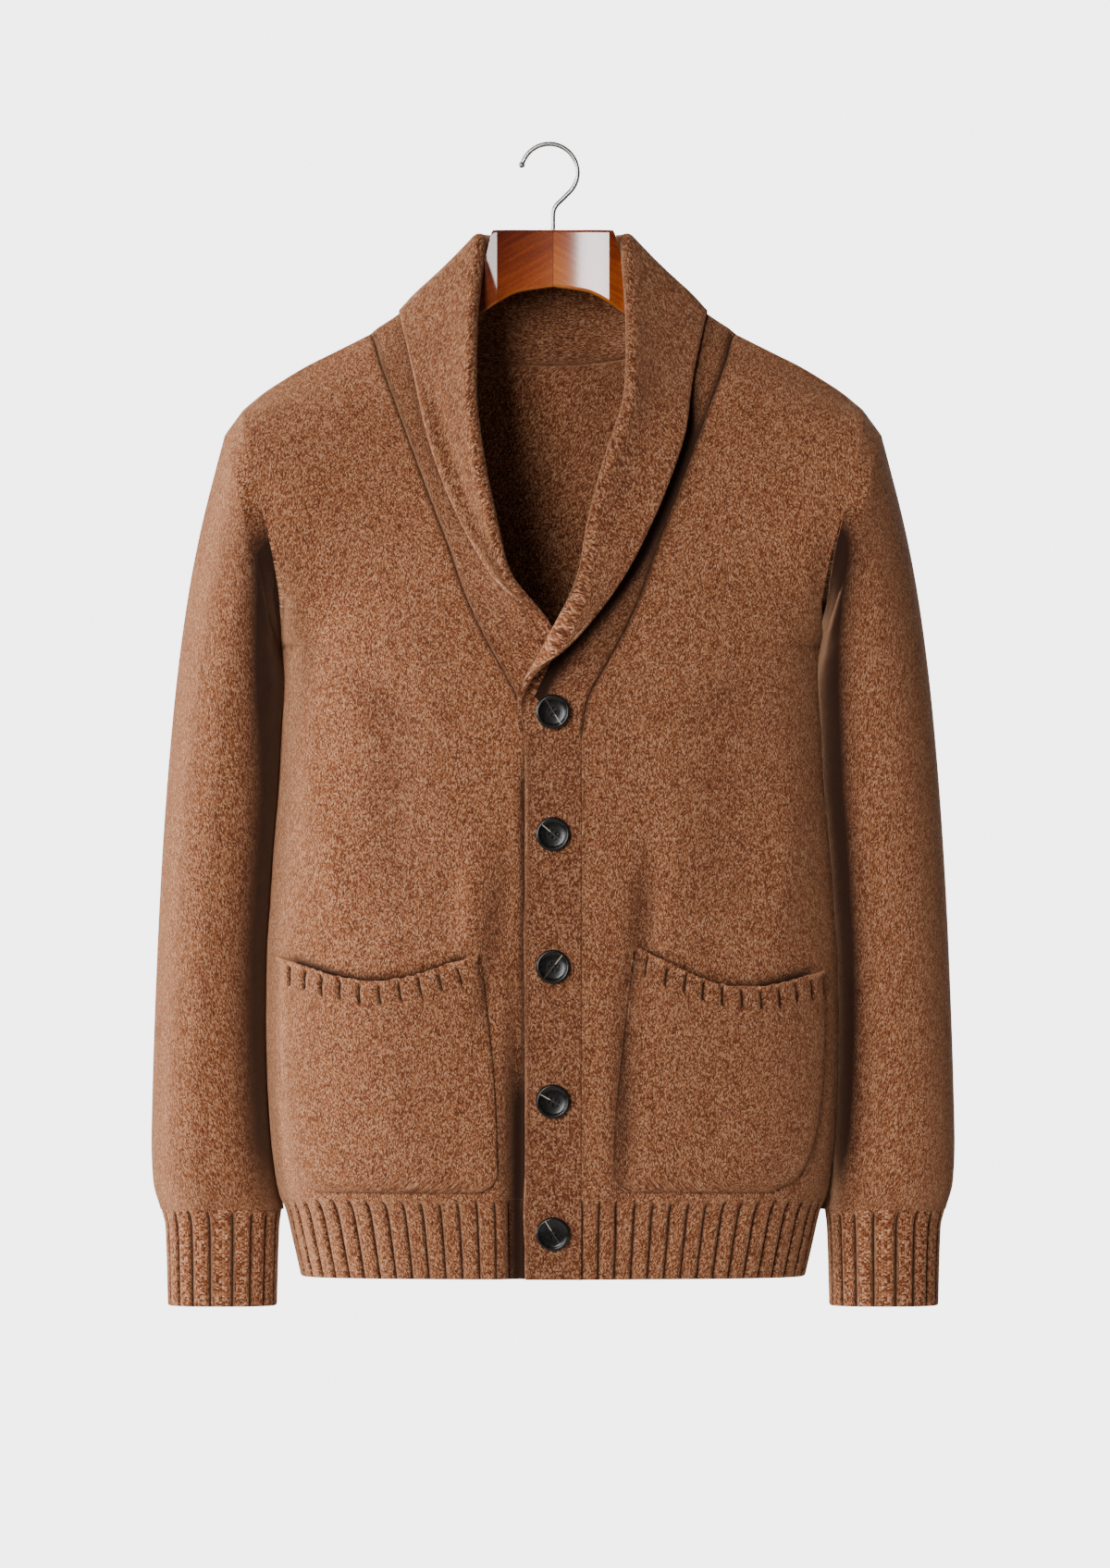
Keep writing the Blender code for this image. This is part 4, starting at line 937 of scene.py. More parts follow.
def set_inputs(made, sockets):
    for key, value in sockets.items():
        if isinstance(value, bpy.types.Node):
            value = value.outputs[0]
        if isinstance(value, bpy.types.NodeSocket):
            made.id_data.links.new(value, made.inputs[key])
        else:
            made.inputs[key].default_value = value


def new_material(name, surface):
    """A material with these values on its shader, its shader, and the function that adds nodes to it."""
    made = bpy.data.materials.new(name)
    made.use_nodes = True
    shader = made.node_tree.nodes["Principled BSDF"]
    set_inputs(shader, surface)
    return made, shader, partial(node, made.node_tree)


def set_ramp(ramp, *stops):
    """Colour stops, as (place, hex colour) pairs."""
    elements = ramp.color_ramp.elements
    while len(elements) < len(stops):
        elements.new(0.5)
    for element, (place, code) in zip(elements, stops):
        element.position = place
        element.color = linear(code)


WALE = 1.5                # mm across one column of stitches
COURSE = 1.15             # mm up one row of stitches


def marl_knit(name, dense):
    """Marl wool in plain stocking stitch, softly brushed.

    Each loop takes its own shade from the mixed fibres, in columns of V shapes, and the brushed fibres catch
    light at the edges. dense darkens the wool, as a thicker knit is darker.
    """
    made, shader, add = new_material(name, {
        "Roughness": 0.95, "Specular IOR Level": 0.15, "Sheen Weight": 0.75, "Sheen Roughness": 0.32,
        "Sheen Tint": linear("#F0B48A")})
    cloth = add("UVMap", uv_map="Knit")
    stitch = add("SeparateXYZ", add("VectorMath MULTIPLY", cloth, (1000 / WALE, 1000 / COURSE, 0.0)))
    across, up = stitch.outputs[0], stitch.outputs[1]
    # A loop's two legs lean towards each other, so each wale is a column of V shapes
    leg = add("Math ABSOLUTE", add("Math MULTIPLY_ADD", add("Math FRACT", across), 2.0, -1.0))
    lean = add("Math MULTIPLY_ADD", leg, 0.7, up)
    half_wale = add("Math FLOOR", add("Math MULTIPLY", across, 2.0))
    shade = add("TexWhiteNoise", add("CombineXYZ", half_wale, add("Math FLOOR", lean)), noise_dimensions="2D")
    # Yarn is spun from mixed fibres, so its shade drifts along a course over several loops
    stretch = add("VectorMath MULTIPLY", cloth, (1300.0, 2000.0, 0.0))
    drift = add("TexNoise", stretch, Scale=1.0, Detail=2.0, Roughness=0.6)
    cloud = add("TexNoise", cloth, Scale=38.0, Detail=1.0)
    tone = add("Math MULTIPLY_ADD", shade, 0.58, add("Math MULTIPLY", drift, 0.55))
    tone = add("Math MULTIPLY_ADD", cloud, 0.08, add("Math SUBTRACT", tone, 0.115))
    wool = add("ValToRGB", tone)
    set_ramp(wool, (0.16, "#472316"), (0.36, "#7A4329"), (0.53, "#9F6241"), (0.70, "#C28963"),
             (0.86, "#E3B58F"))
    # Painted shade: the bottom of the stitches is darker, and so is cloth that lies deep against other
    # cloth, where the hollow attribute takes the colour towards a near-black shade colour. Below 0 the
    # attribute gives a painted highlight.
    leg_round = add("Math SINE", add("Math MULTIPLY", leg, pi))
    row_round = add("Math SINE", add("Math MULTIPLY", add("Math FRACT", lean), pi))
    height = add("Math MULTIPLY", leg_round, add("Math MULTIPLY_ADD", row_round, 0.6, 0.4))
    hollow = add("Attribute", attribute_name="hollow").outputs["Fac"]
    light = add("Math MULTIPLY", add("Math MULTIPLY_ADD", height, 0.4, 0.62 - dense),
                add("Math MULTIPLY_ADD", hollow, -1.0, 1.0))
    colour = add("Mix", light, numbered={6: (0.024, 0.009, 0.005, 1.0), 7: wool.outputs[0]}, data_type="RGBA")
    fuzz = add("TexNoise", cloth, Scale=1400.0, Detail=3.0, Roughness=0.7)
    relief = add("Math MULTIPLY_ADD", fuzz, 0.7, height)
    set_inputs(shader, {"Base Color": colour.outputs[2],
                        "Normal": add("Bump", Strength=0.65, Distance=0.0007, Height=relief)})
    return made


def lacquered_wood():
    """Stained hardwood under clear gloss lacquer, in two halves glued at the middle.

    The grain shows dark through the gloss and the halves differ. Shade is painted on, darker to the top, and
    a painted highlight lies along the front's lower corner, in a lighter orange.
    """
    made, shader, add = new_material("reddish lacquered wood", {
        "Roughness": 0.42, "Specular IOR Level": 0.12,
        "Coat Weight": 1.0, "Coat Roughness": 0.14, "Coat IOR": 1.7})
    place = add("TexCoord").outputs["Object"]
    x, y, z = add("SeparateXYZ", place).outputs
    out = add("Math ABSOLUTE", x)
    right = add("Math GREATER_THAN", x, 0.0)
    # The grain runs along each arm, which falls away from the middle
    along = add("Math MULTIPLY_ADD", z, -0.5, add("Math MULTIPLY", out, 0.87))
    across = add("Math MULTIPLY_ADD", z, 0.87, add("Math MULTIPLY", out, 0.5))
    grain_place = add("CombineXYZ", add("Math MULTIPLY", along, 14.0), add("Math MULTIPLY", across, 260.0),
                      add("Math MULTIPLY_ADD", right, 7.0, y))
    grain = add("TexNoise", grain_place, Scale=1.0, Detail=5.0, Roughness=0.65)
    pores = add("TexNoise", place, Scale=700.0, Detail=2.0)
    stain = add("Math MULTIPLY_ADD", grain, 0.5, add("Math MULTIPLY", pores, 0.16))
    # Painted shade: the colour is darker towards the top
    shaded_top = add("Math MAXIMUM", add("Math MULTIPLY_ADD", z, 17.0, 1.92), 0.0)
    to_middle = add("Math MAXIMUM", add("Math MULTIPLY_ADD", out, -22.0, 1.0), 0.0)
    for share, weight in ((shaded_top, -0.24), (right, 0.14), (to_middle, 0.2)):
        stain = add("Math MULTIPLY_ADD", share, weight, stain)
    wood = add("ValToRGB", stain)
    set_ramp(wood, (0.0, "#2E0D05"), (0.22, "#5C1D07"), (0.42, "#8A3A0E"), (0.62, "#B4601C"),
             (0.85, "#D08A3C"))
    # A painted highlight of the lacquer along the front's lower corner, in a lighter orange
    edge_highlight = add("Attribute", attribute_name="edge").outputs["Fac"]
    colour = add("Mix", edge_highlight, numbered={6: wood.outputs[0], 7: linear("#A85A1C")}, data_type="RGBA")
    glue_line = add("Math MULTIPLY", add("Math LESS_THAN", out, 0.0003), 0.6)
    colour = add("Mix", glue_line, numbered={6: colour.outputs[2], 7: linear("#3A1206")}, data_type="RGBA")
    set_inputs(shader, {"Base Color": colour.outputs[2],
                        "Normal": add("Bump", Strength=0.12, Distance=0.0003, Height=grain)})
    return made


def dark_horn():
    """Polished black horn: a faint cloudy depth, and one pale streak across the face."""
    made, shader, add = new_material("polished dark horn", {"Roughness": 0.24, "Specular IOR Level": 0.3})
    # In millimetres from the button's middle; the streak runs along u and is stronger on one side
    face = add("UVMap", uv_map="Face")
    along, off_line, _ = add("SeparateXYZ", face).outputs
    wander = add("TexNoise", face, Scale=0.5, Detail=1.0)
    off = add("Math ABSOLUTE", add("Math MULTIPLY_ADD", wander, 0.5, add("Math SUBTRACT", off_line, 0.25)))
    thin = add("Math SUBTRACT", 1.0, add("Math MINIMUM", add("Math DIVIDE", off, 0.42), 1.0))
    side = add("Math MULTIPLY_ADD", add("Math GREATER_THAN", along, 2.6), 0.85, 0.12)
    inside = add("Math LESS_THAN", add("Math ABSOLUTE", along), 10.6)
    streak = add("Math MULTIPLY", add("Math MULTIPLY", thin, side), inside)
    horn = add("ValToRGB", add("TexNoise", face, Scale=0.32, Detail=3.0))
    set_ramp(horn, (0.35, "#0B0A09"), (0.75, "#1E1B18"))
    colour = add("Mix", streak, numbered={6: horn.outputs[0], 7: linear("#C9B9A6")}, data_type="RGBA")
    set_inputs(shader, {"Base Color": colour.outputs[2]})
    return made


def chrome():
    """Chrome plate on bent steel wire: bright, with faint fine wear."""
    made, shader, add = new_material("chrome plated wire", {"Metallic": 1.0, "Roughness": 0.34})
    wear = add("TexNoise", add("TexCoord").outputs["Object"], Scale=900.0, Detail=2.0)
    plate = add("ValToRGB", wear)
    set_ramp(plate, (0.3, "#A3A09C"), (0.7, "#BDBAB6"))
    set_inputs(shader, {"Base Color": plate,
                        "Normal": add("Bump", Strength=0.05, Distance=0.0001, Height=wear)})
    return made


# ---- The knitted pieces ----

HANDS = ((1, "left"), (-1, "right"))
SLEEVE_TUCK = 3.5         # how far the left sleeve's flank goes in beside the body


def make_fronts(knit):
    """The two fronts; gives the points and normals of each one's seam with the collar."""
    edges = {}
    for hand, name in HANDS:
        grid, normals, uv = front_grid(hand)
        z = grid[..., 2]
        _, _, from_side, from_seam = distances(grid)
        grid, normals = on_hand(grid, hand), on_hand(normals, hand)
        over = hand > 0
        # Painted shade behind the pocket mouths, in creases, along the collar seam and, on the right front,
        # beside the top band
        knit_wall("front_" + name, knit, grid, normals, CLOTH, uv,
                  (0.0, SOFT_SEAM, SOFT_SEAM, EDGE_ROUND * (1 - along_band(z[:, -1:]) * over)),
                  relief=band_ridge(from_seam, z) * over, bend=armhole_crease(from_side, z),
                  hollow=np.maximum(front_shade(hand, grid), seam_line(from_seam, z)))
        edges[hand] = list(zip(grid[:, -1], normals[:, -1]))
    return edges


def make_back(knit):
    """The back; gives the points and normals of its neckline."""
    grid, normals, uv = back_grid()
    _, _, from_left, from_right = distances(grid)
    knit_wall("back", knit, grid, normals, CLOTH, uv, (0.0, EDGE_ROUND, SOFT_SEAM, SOFT_SEAM),
              bend=armhole_crease(np.minimum(from_left, from_right), grid[..., 2]))
    neck = np.abs(grid[-1, :, 0]) <= NECK_X + 0.01
    return list(zip(grid[-1, neck], normals[-1, neck]))


def make_hem(knit):
    for side, hand, name in ((-1, 1, "front_left"), (-1, -1, "front_right"), (1, 1, "back")):
        grid = hem_grid(side, hand)
        fractions = rib_fractions(HEM_RIBS)
        hollow = rib_hollow(fractions, HEM_RIBS, HEM_PITCH)[None]
        relief = rib_relief(fractions, HEM_RIBS, hollow)
        if side > 0:
            grid, relief, hollow = both_halves(grid), both_halves(relief), both_halves(hollow)
        ribbed = ribbed_ease(grid)
        ridge = band_ridge(distances(grid)[3], grid[..., 2]) if name == "front_left" else 0.0
        grid = on_hand(grid, hand)
        normals = levelled(grid_normals(grid, (0, side, 0)))
        side_seams = [0, -1] if side > 0 else [0]
        normals[:, side_seams] = flattened(normals[:, side_seams], 1)
        # Painted shade in the ribs' grooves and, on the right front, in its creases and beside the top band
        hollow = hollow * ribbed
        if name == "front_right":
            hollow = np.maximum(hollow, front_shade(hand, grid))
        knit_wall("hem_rib_" + name, knit, grid, normals, RIB_CLOTH, cloth_uv(grid),
                  (0.0, RIB_END_ROUND, 0.0, 0.0), relief=relief * ribbed + ridge, hollow=hollow)


def make_cuffs(knit):
    grid = cuff_grid()
    normals = levelled(grid_normals(grid, (-1, 0, 0), closed=True))
    fractions = rib_fractions(CUFF_RIBS)[:-1]
    # The grooves' share sets their relief and their painted shade
    hollow = rib_hollow(fractions, CUFF_RIBS, HEM_PITCH) * ribbed_ease(grid)
    for hand, name in HANDS:
        knit_wall("cuff_" + name, knit, on_hand(grid, hand), on_hand(normals, hand), RIB_CLOTH,
                  cloth_uv(grid, closed=True), (0.0, RIB_END_ROUND), closed=True,
                  relief=rib_relief(fractions, CUFF_RIBS, hollow), hollow=hollow)


def make_sleeves(knit):
    grid, normals = sleeve_grid()
    front = ease(0.5 - grid[..., 1] / 60.0)
    sunk = armhole_crease(distances(grid)[0], grid[:1, :, 2]) * front
    for hand, name in HANDS:
        # Painted shade in the fold beside the body; on the wearer's left it also sets how far the flank goes
        # in
        hollow = tucked_shade(grid, hand)
        tuck = SLEEVE_TUCK * hollow if hand > 0 else 0.0
        knit_wall("sleeve_" + name, knit, on_hand(grid, hand), on_hand(normals, hand), CLOTH,
                  cloth_uv(grid, closed=True), (SOFT_SEAM, 0.0), closed=True, bend=sunk + tuck, hollow=hollow)


EDGE_BEAD = 2.4           # how far a bead stands out by the right fall's edge
BEAD_GROOVE = 1.2         # how deep the cloth lies beside that bead
EDGE_STANDS_OFF = 8.0     # how far the left fall's edge stands off the front
EDGE_LIES = 2.5           # how far the edge sinks on the shoulder
# Amounts of painted shade on the stand and the bands
STAND_SHADE = 1.7         # beside the edge that stands off
EDGE_SHADE = 0.5          # beside the edge that lies flat
PLACKET_SHADE = 0.14      # over all of the bands


def make_strip(knit, edges):
    """The collar and both bands, knitted as one strip."""
    middle = strip_grid(edges)
    normals = grid_normals(middle, (0, 1, 0))
    outer = middle + normals * (STRIP_CLOTH / 2)
    z, edge_z = outer[..., 2], outer[:, -1:, 2]
    _, _, from_seam, from_edge = distances(outer)
    on_left = ease(middle[..., 0] + 0.5)
    left_row = on_left[:, :1]
    band = along_band(outer[:, :1, 2])
    # On the wearer's left the fall's edge stands off the front, with the stand beside it in its cast
    # shadow and in deep painted shade; elsewhere the stand beside the edge takes lighter painted shade.
    # On the right the edge ends in a bead. Both lie flat on the shoulder.
    down_front = (1 - band) * below(edge_z, -165.0, 50.0)
    bead = EDGE_BEAD * peak(from_edge - 4.0, 4.5) - BEAD_GROOVE * peak(from_edge - 14.0, 5.0)
    stands_off = mix(bead, EDGE_STANDS_OFF * peak(from_edge, 20.0), left_row) * down_front
    on_shoulder = peak(edge_z + 122.0, 30.0) * (outer[:, -1:, 1] < 60.0)
    stands_off = stands_off - EDGE_LIES * on_shoulder * peak(from_edge, 12.0)
    open_side = left_row * down_front
    beside = np.linalg.norm(outer - outer[:, -1:], axis=-1)
    shade = mix(EDGE_SHADE, STAND_SHADE, open_side) * (1 - band) * peak(beside, mix(5.0, 12.0, open_side))
    shade[:, STAND_POINTS:] = 0.0
    # Painted shade over the bands and along the collar's seam
    shade = np.maximum(np.maximum(shade, PLACKET_SHADE * band), seam_line(from_seam, z))
    knit_wall("collar_and_bands", knit, outer, normals, STRIP_CLOTH, strip_uv(middle),
              (RIB_END_ROUND, RIB_END_ROUND, EDGE_ROUND * (1 - band * left_row), EDGE_ROUND),
              relief=band_ridge(from_seam, z) * on_left, bend=-stands_off, hollow=shade,
              nodes=("shawl_collar", "buttonhole_band", "button_band"))


# Amounts of painted shade on a pocket, and of a painted highlight on its mouth's lip
POCKET_SHADE = 0.06       # over all of a pocket
SEWN_SHADE = 0.45         # along its sewn edges
LIP_LIGHT = 0.5           # taken off the shade on the mouth's lip


@cache
def front_net(hand):
    """y of a front's outer face at an even net of heights and reaches."""
    heights = np.linspace(HEM_SEAM_Z, -540.0, 120)
    reach = np.linspace(FRONT_SEAM[-1].x, 199.0, 200)
    paths = [body_row(-1, hand, height)[::-1] for height in heights]
    return heights, reach, np.array([np.interp(reach, path[:, 0], path[:, 1]) for path in paths])


def front_depths(hand, x, z):
    """y of a front's outer face at places given by how far out and how high they are."""
    heights, reach, faces = front_net(hand)
    row = np.clip((z - heights[0]) / (heights[1] - heights[0]), 0, len(heights) - 1.001)
    column = np.clip((x - reach[0]) / (reach[1] - reach[0]), 0, len(reach) - 1.001)
    low, near = row.astype(int), column.astype(int)
    up, over = row - low, column - near
    return mix(mix(faces[low, near], faces[low, near + 1], over),
               mix(faces[low + 1, near], faces[low + 1, near + 1], over), up)


def pocket_grid(hand):
    """Outer points and normals of a patch pocket laid on its front, with a gaping mouth, and its columns'
    fractions."""
    columns = curves(POCKETS[hand])
    fractions = np.unique(np.concatenate((rib_fractions(POCKET_RIBS), even_with_rims(2, 165.0))))
    numbers = (len(POCKETS[hand]) - 1) * even_with_rims(72, 175.0)
    numbers = np.unique(np.append(numbers, np.linspace(0.02, 1.2, 14)))
    rows = [values_at(columns, number) for number in numbers]
    share = np.linspace(0, 1, FINE_STEPS + 1)
    grid = []
    for row in rows:
        x = mix(row["inner_x"], row["outer_x"], share)
        z = mix(row["inner_z"], row["outer_z"], share) - row["sag"] * np.sin(pi * share)
        grid.append(places_along(np.stack([hand * x, front_depths(hand, x, z), z], axis=-1), fractions))
    grid = np.array(grid)
    normals = grid_normals(grid, (0, -1, 0))
    gape = np.sin(pi * fractions) * (1 + INNER_GAPE[hand] * peak(fractions - 0.16, 0.13))
    off = POCKET_STANDOFF + MOUTH_OPENING * np.array([row["open"] for row in rows])[:, None] * gape
    return grid + normals * (off + CLOTH)[..., None], normals, fractions


def make_pockets(knit):
    """Patch pockets with short ribs under the lip of the mouth and pressed edges."""
    for hand, name in HANDS:
        grid, normals, fractions = pocket_grid(hand)
        down, *from_edges = distances(grid)
        sewn = np.min(from_edges, axis=0)
        ribbed = ease((down - POCKET_LIP) / 1.5) * ease((POCKET_RIB_HEIGHT + POCKET_LIP - down) / 1.5)
        hollow = ribbed * rib_hollow(fractions, POCKET_RIBS, POCKET_PITCH)
        relief = (ribbed * rib_relief(fractions, POCKET_RIBS, hollow)
                  + POCKET_LIP_BEAD * peak(down - 1.9, 1.9)
                  - POCKET_EDGE_SINK * peak(sewn, 4.5))
        # Painted shade in the ribs' grooves, in creases, over the pocket and along its sewn edges, and a
        # painted highlight on the mouth's lip
        troughs = np.minimum(fold_height(FRONT_FOLDS, grid[..., 0], grid[..., 2]), 0.0)
        hollow = np.maximum(hollow, POCKET_SHADE - TROUGH_SHADE * troughs)
        hollow = hollow - LIP_LIGHT * peak(down - 1.7, 2.0) + SEWN_SHADE * peak(sewn, 2.2)
        knit_wall("pocket_" + name, knit, grid, normals, CLOTH, cloth_uv(grid), (1.4, 1.2, 1.2, 1.2),
                  relief=relief, hollow=hollow)


# ---- Hanger and buttons ----

def dress(piece, nodes, material):
    """Gives a piece its finish and puts it in the place of its solids."""
    piece.data.materials.append(material)
    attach(piece, "root")
    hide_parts(*nodes)


def skin_of_rings(rings):
    """Points and faces of a closed body from rings of points, each end closed by a fan."""
    rings = np.asarray(rings)
    count, sides = rings.shape[:2]
    points = np.concatenate((rings.reshape(-1, 3), [rings[0].mean(axis=0)], [rings[-1].mean(axis=0)]))
    number = np.arange(count * sides).reshape(count, sides)
    faces = quads(np.concatenate((number, number[:, :1]), axis=1)).tolist()
    for ring, middle in ((number[0], count * sides), (number[-1], count * sides + 1)):
        faces += [[int(here), int(there), middle] for here, there in zip(ring, np.roll(ring, -1))]
    return points, faces


WOOD_STATIONS = table(
    "x top bottom half_depth",
    (0.0, -61.3, -103.0, 11.0),
    (25.0, -61.3, -107.0, 11.0),
    (44.0, -61.6, -117.0, 11.0),
    (47.5, -72.0, -119.5, 11.0),
    (51.0, -85.0, -122.0, 10.5),
    (55.0, -97.0, -125.0, 9.0),
    (62.0, -105.5, -130.0, 8.0),
    (76.0, -122.0, -142.0, 8.0),
    (96.0, -138.5, -156.0, 8.0),
    (122.0, -147.0, -170.0, 7.5),
    (159.0, -157.5, -184.0, 7.0),
    (180.0, -167.8, -194.0, 7.0),
    (196.0, -176.8, -202.0, 7.0),
    (205.0, -185.0, -205.0, 6.5),
    (210.0, -191.0, -204.0, 5.0),
)
WOOD_FACET_X = 41.0       # where the middle's hollow front meets the facet of each arm
WOOD_CORNER = 2.2
CORNER_POINTS = 5
# How much painted highlight each point round the front's lower corner takes
CORNER_HIGHLIGHT = (0.25, 0.6, 1.0, 0.8)    # of the finish, round the front's lower corner


def wood_front(x):
    """y of the wood's front: slightly hollow in the middle, then a facet that turns away."""
    out = abs(x)
    return -6.8 - 4.2 * min(out / WOOD_FACET_X, 1.0) ** 2 + 0.4 * min(max(out - WOOD_FACET_X, 0.0), 9.0)


def make_wood(finish):
    """The hanger's wood: a section with rounded corners at each place along both arms."""
    columns = curves(WOOD_STATIONS, "x")
    out = np.unique(np.concatenate((np.linspace(0, 41, 15), [40.9, 41.1, 44.0, 45.0, 46.2],
                                    np.linspace(47.5, 62, 9), np.linspace(66, 210, 26))))
    rings = []
    for x in np.concatenate((-out[:0:-1], out)):
        top, bottom, back = values_at(columns, abs(x)).values()
        front = max(wood_front(x), -back)
        corner = min(WOOD_CORNER, (top - bottom) * 0.3)
        ring = []
        for y, z, start in ((front, bottom, pi), (back, bottom, 1.5 * pi), (back, top, 0.0),
                            (front, top, 0.5 * pi)):
            hub_y = y + (corner if y == front else -corner)
            hub_z = z + (corner if z == bottom else -corner)
            for angle in start + np.linspace(0, pi / 2, CORNER_POINTS):
                ring.append((x, hub_y + corner * cos(angle), hub_z + corner * sin(angle)))
        # Two more points keep the shading of the front flat between its rounded corners
        ring += [(x, front, top - corner - 0.8), (x, front, bottom + corner + 0.8)]
        rings.append(ring)
    points, faces = skin_of_rings(rings)
    made = add_mesh("hanger_wood_shaped", points, faces, smooth_angle=24)
    # The painted highlight along the front's lower corner, which the material reads
    edge = np.zeros(len(points))
    for column, edge_highlight in enumerate(CORNER_HIGHLIGHT):
        edge[column:-2:len(rings[0])] = edge_highlight
    mark_points(made, "edge", edge)
    dress(made, ("hanger_wood",), finish)


WIRE_RADIUS = 1.7
HOOK_CENTRE = (-2.7, 0.0, -19.0)
HOOK_RADIUS = 20.7
HOOK_TIP = 159.0          # degrees round the hook, where it ends and where it bends down
HOOK_FOOT = -50.0
HOOK_BEND = ((7.2, 0.0, -38.4), (3.2, 0.0, -42.0), (0.9, 0.0, -45.2), (0.0, 0.0, -49.0), (0.0, 0.0, -61.0))
KNOB_RADIUS = 2.5
KNOB_LENGTH = 4.6
KNOB_POINTS = 9


def make_hook(finish):
    """The wire: a small ball at its tip, the round hook, and the bend down into the wood."""
    angles = np.radians(np.linspace(HOOK_TIP, HOOK_FOOT, 72))
    arc = HOOK_CENTRE + HOOK_RADIUS * np.stack([np.cos(angles), 0 * angles, np.sin(angles)], axis=-1)
    bend = smoothed(places_along(np.array(HOOK_BEND), np.linspace(0, 1, 24)), 3)
    knob = arc[0] + unit(arc[0] - arc[1]) * np.linspace(KNOB_LENGTH, 0.0, KNOB_POINTS)[:, None]
    path = np.concatenate((knob, arc[1:], bend))
    radii = np.full(len(path), WIRE_RADIUS)
    ball = KNOB_RADIUS * np.sin(np.linspace(0.12, 0.9 * pi, KNOB_POINTS))
    radii[:KNOB_POINTS] = np.maximum(ball, np.where(np.arange(KNOB_POINTS) > 5, WIRE_RADIUS, 0))
    runs = unit(np.gradient(path, axis=0))
    across = np.stack([runs[:, 2], 0 * runs[:, 0], -runs[:, 0]], axis=-1)
    turns = 2 * pi * np.arange(16) / 16
    ahead = np.array([0.0, 1.0, 0.0])
    rings = [point + (side * np.cos(turns)[:, None] + ahead * np.sin(turns)[:, None]) * radius
             for point, side, radius in zip(path, across, radii)]
    made = add_mesh("hanger_hook_shaped", *skin_of_rings(rings), smooth_angle=50)
    dress(made, ("hanger_hook",), finish)


# tip is the button's lean in degrees, and streak the turn of the pale line across it
BUTTONS = table(
    "z back_y tip streak",
    (-413.7, -104.6, 0.0, -58.0),
    (-502.3, -104.2, 0.0, 139.0),
    (-598.3, -106.2, -1.0, 52.0),
    (-695.6, -106.6, 1.0, 151.0),
    (-791.6, -94.8, 9.5, 122.0),
)
# How far out, and how far in front of the button's back
BUTTON_PROFILE = ((11.2, 0.0), (11.9, 0.25), (12.4, 1.0), (12.5, 1.8), (12.35, 2.8), (11.95, 3.5),
                  (11.35, 3.88), (10.7, 3.9), (10.1, 3.7), (9.6, 3.3), (9.0, 3.0), (8.0, 2.82), (6.6, 2.66),
                  (5.4, 2.58))
BUTTON_FACE = 2.55
HOLE_RADIUS = 0.95
HOLE_REACH = 2.5          # of each hole from the button's middle
HOLE_DEPTH = 1.5


def make_buttons(finish):
    """Turned buttons with a rim, a dished face and four holes set square to the streak."""
    turns = 2 * pi * np.arange(96) / 96
    profile = BUTTON_PROFILE + tuple((reach, BUTTON_FACE) for reach in np.linspace(4.9, 0.25, 26))
    for number, button in enumerate(BUTTONS, 1):
        tip, spin = radians(button.tip), radians(button.streak)

        def along_streak(x, up):
            return x * cos(spin) + up * sin(spin), up * cos(spin) - x * sin(spin)

        rings = []
        for radius, rise in profile:
            x, up = radius * np.sin(turns), radius * np.cos(turns)
            along, off = np.abs(along_streak(x, up))
            near = np.hypot(along - HOLE_REACH * 0.7, off - HOLE_REACH * 0.7)
            sunk = HOLE_DEPTH * ease((HOLE_RADIUS + 0.12 - near) / 0.3) if radius < 5 else 0.0
            height = rise - sunk + 0 * x
            rings.append(np.stack([x, button.back_y - cos(tip) * height - sin(tip) * up,
                                   button.z - sin(tip) * height + cos(tip) * up], axis=-1))
        points, faces = skin_of_rings(rings)
        face_uv = np.stack(along_streak(points[:, 0], (points[:, 2] - button.z) / cos(tip)), axis=-1)
        corners = np.concatenate([np.array(face) for face in faces])
        made = add_mesh(f"button_{number}_turned", points, faces, face_uv[corners], 40, "Face")
        dress(made, (f"button_{number}",), finish)


# ---- Camera, light and floor, in metres ----

FRAME_HEIGHT = 1.146      # of what the camera sees at the garment
FRAME_CENTRE = (0.0014, -0.4661)
CAMERA_DISTANCE = 10.0
SENSOR = 36.0
LIT_MIDDLE = Vector((0.0, 0.0, -0.45))
BACKDROP = "#EEEEEE"
BACKDROP_STRENGTH = 5.4   # as the camera sees it
AMBIENT_STRENGTH = 0.05   # as it lights the garment
LIGHTS = table(
    "name place size power in_gloss",
    ("side_softbox", (-4.9, -4.9, 0.6), (1.6, 4.2), 250.0, True),
    ("edge_softbox", (-6.8, 1.0, 0.2), (0.8, 3.6), 860.0, True),
    ("front_softbox", (-2.1, -6.8, 1.0), (1.7, 3.4), 455.0, True),
    ("fill_panel", (1.6, -7.4, 0.3), (4.0, 4.0), 25.0, False),
    ("back_softbox", (2.5, 6.5, 1.5), (2.5, 2.5), 450.0, True),
)
FLOOR_Z = -1.28
FLOOR_RADIUS = 1.2


def make_camera():
    data = bpy.data.cameras.new("camera")
    data.sensor_width = SENSOR
    data.lens = SENSOR * CAMERA_DISTANCE / FRAME_HEIGHT
    data.clip_end = 100.0
    camera = add_object("camera", data)
    camera.location = (FRAME_CENTRE[0], -CAMERA_DISTANCE, FRAME_CENTRE[1])
    camera.rotation_euler = (pi / 2, 0, 0)
    bpy.context.scene.camera = camera


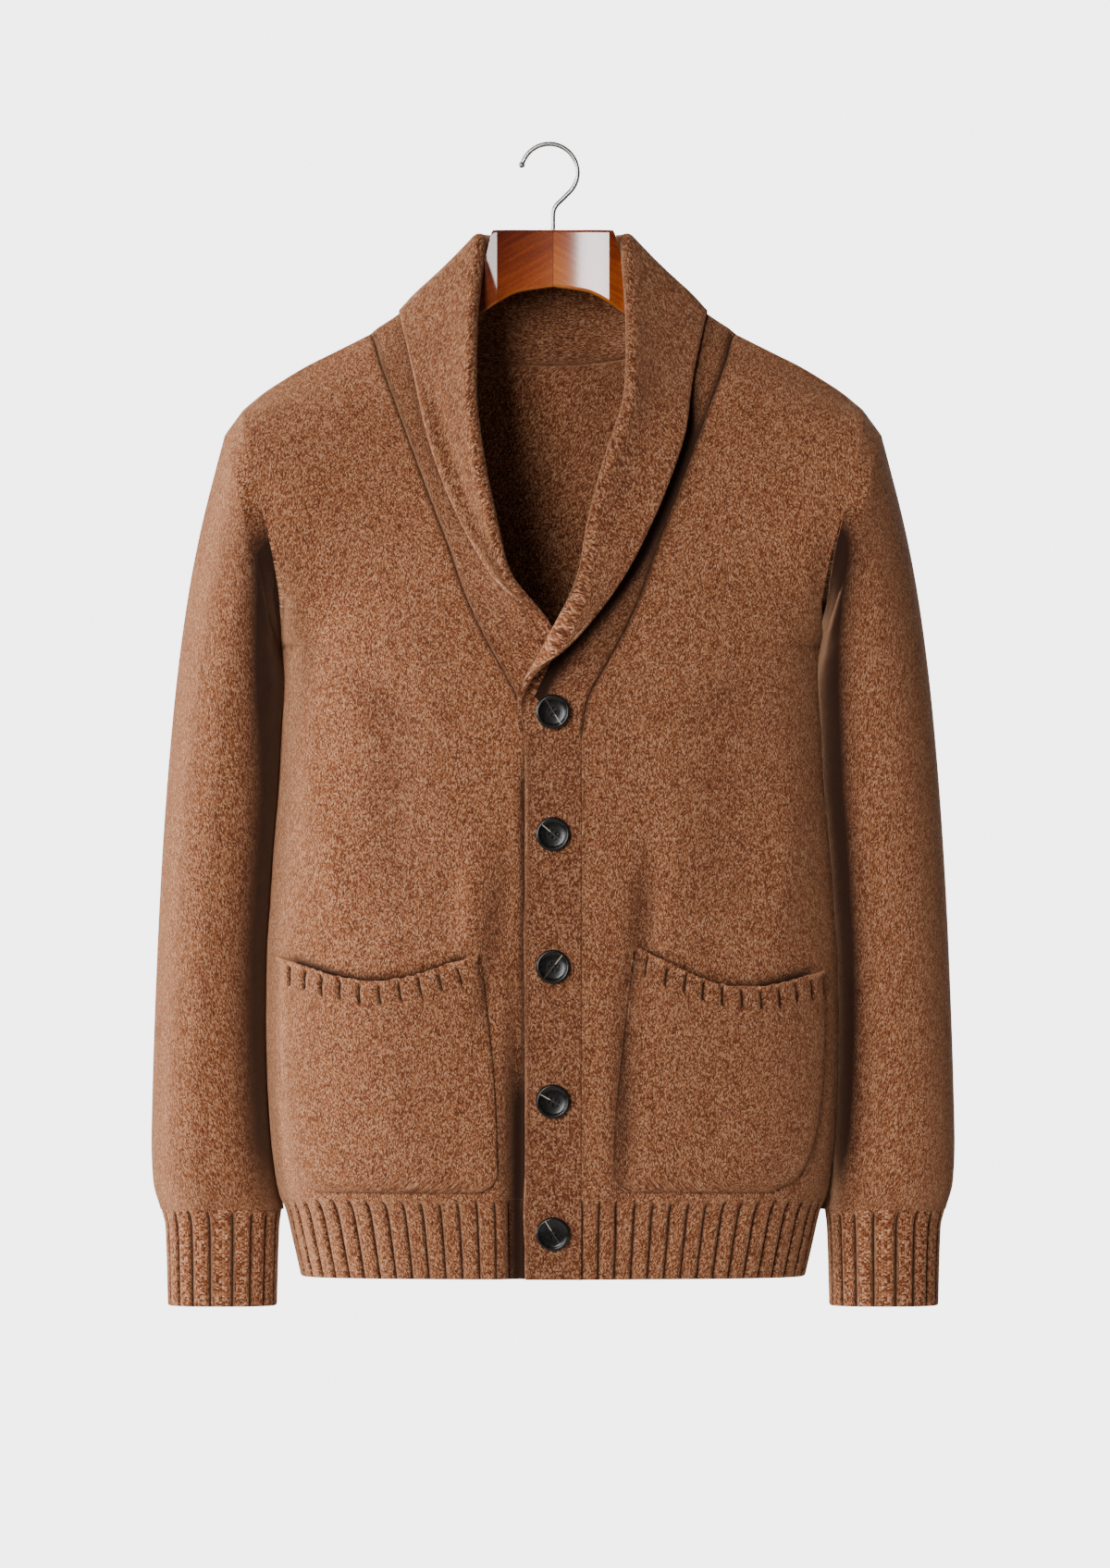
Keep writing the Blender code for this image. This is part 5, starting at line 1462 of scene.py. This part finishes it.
def make_lights():
    for row in LIGHTS:
        data = bpy.data.lights.new(row.name, "AREA")
        data.shape = "RECTANGLE"
        data.size, data.size_y = row.size
        data.energy = row.power
        light = add_object(row.name, data)
        light.location = row.place
        light.rotation_euler = (LIT_MIDDLE - Vector(row.place)).to_track_quat("-Z", "Y").to_euler()
        light.visible_glossy = row.in_gloss


def make_backdrop():
    """A pale backdrop to the camera, and little light from it on the garment."""
    world = bpy.data.worlds.new("studio")
    bpy.context.scene.world = world
    world.use_nodes = True
    world.node_tree.nodes.clear()
    add = partial(node, world.node_tree)
    ray = add("LightPath")
    seen, ambient = (add("Background", Color=linear(BACKDROP), Strength=strength)
                     for strength in (BACKDROP_STRENGTH, AMBIENT_STRENGTH))
    # What glossy pieces mirror: the backdrop behind the object and a dark room in front of it
    place = add("SeparateXYZ", add("TexCoord").outputs["Generated"])
    behind = add("MapRange", place.outputs[1], -0.35, 0.6, 0.04, 1.3)
    mirrored_room = add("Background", Color=linear(BACKDROP), Strength=behind)
    lit = add("MixShader", ray.outputs["Is Glossy Ray"], ambient, mirrored_room)
    add("OutputWorld", add("MixShader", ray.outputs["Is Camera Ray"], lit, seen))


def make_floor():
    mesh = bpy.data.meshes.new("floor")
    shape = bmesh.new()
    bmesh.ops.create_circle(shape, cap_ends=True, segments=96, radius=FLOOR_RADIUS)
    shape.to_mesh(mesh)
    shape.free()
    floor = add_object("floor", mesh)
    floor.location = (0, 0, FLOOR_Z)
    paint, _, _ = new_material("pale matt floor paint", {"Base Color": linear("#E6E6E6"), "Roughness": 0.8})
    mesh.materials.append(paint)


make_camera()
plain_knit, double_knit = marl_knit("marl wool plain knit", 0.0), marl_knit("marl wool double knit", 0.16)
edges = make_fronts(plain_knit)
edges[0] = make_back(plain_knit)
make_hem(plain_knit)
make_cuffs(plain_knit)
make_sleeves(plain_knit)
make_strip(double_knit, edges)
make_pockets(plain_knit)
make_wood(lacquered_wood())
make_hook(chrome())
make_buttons(dark_horn())
make_lights()
make_backdrop()
make_floor()
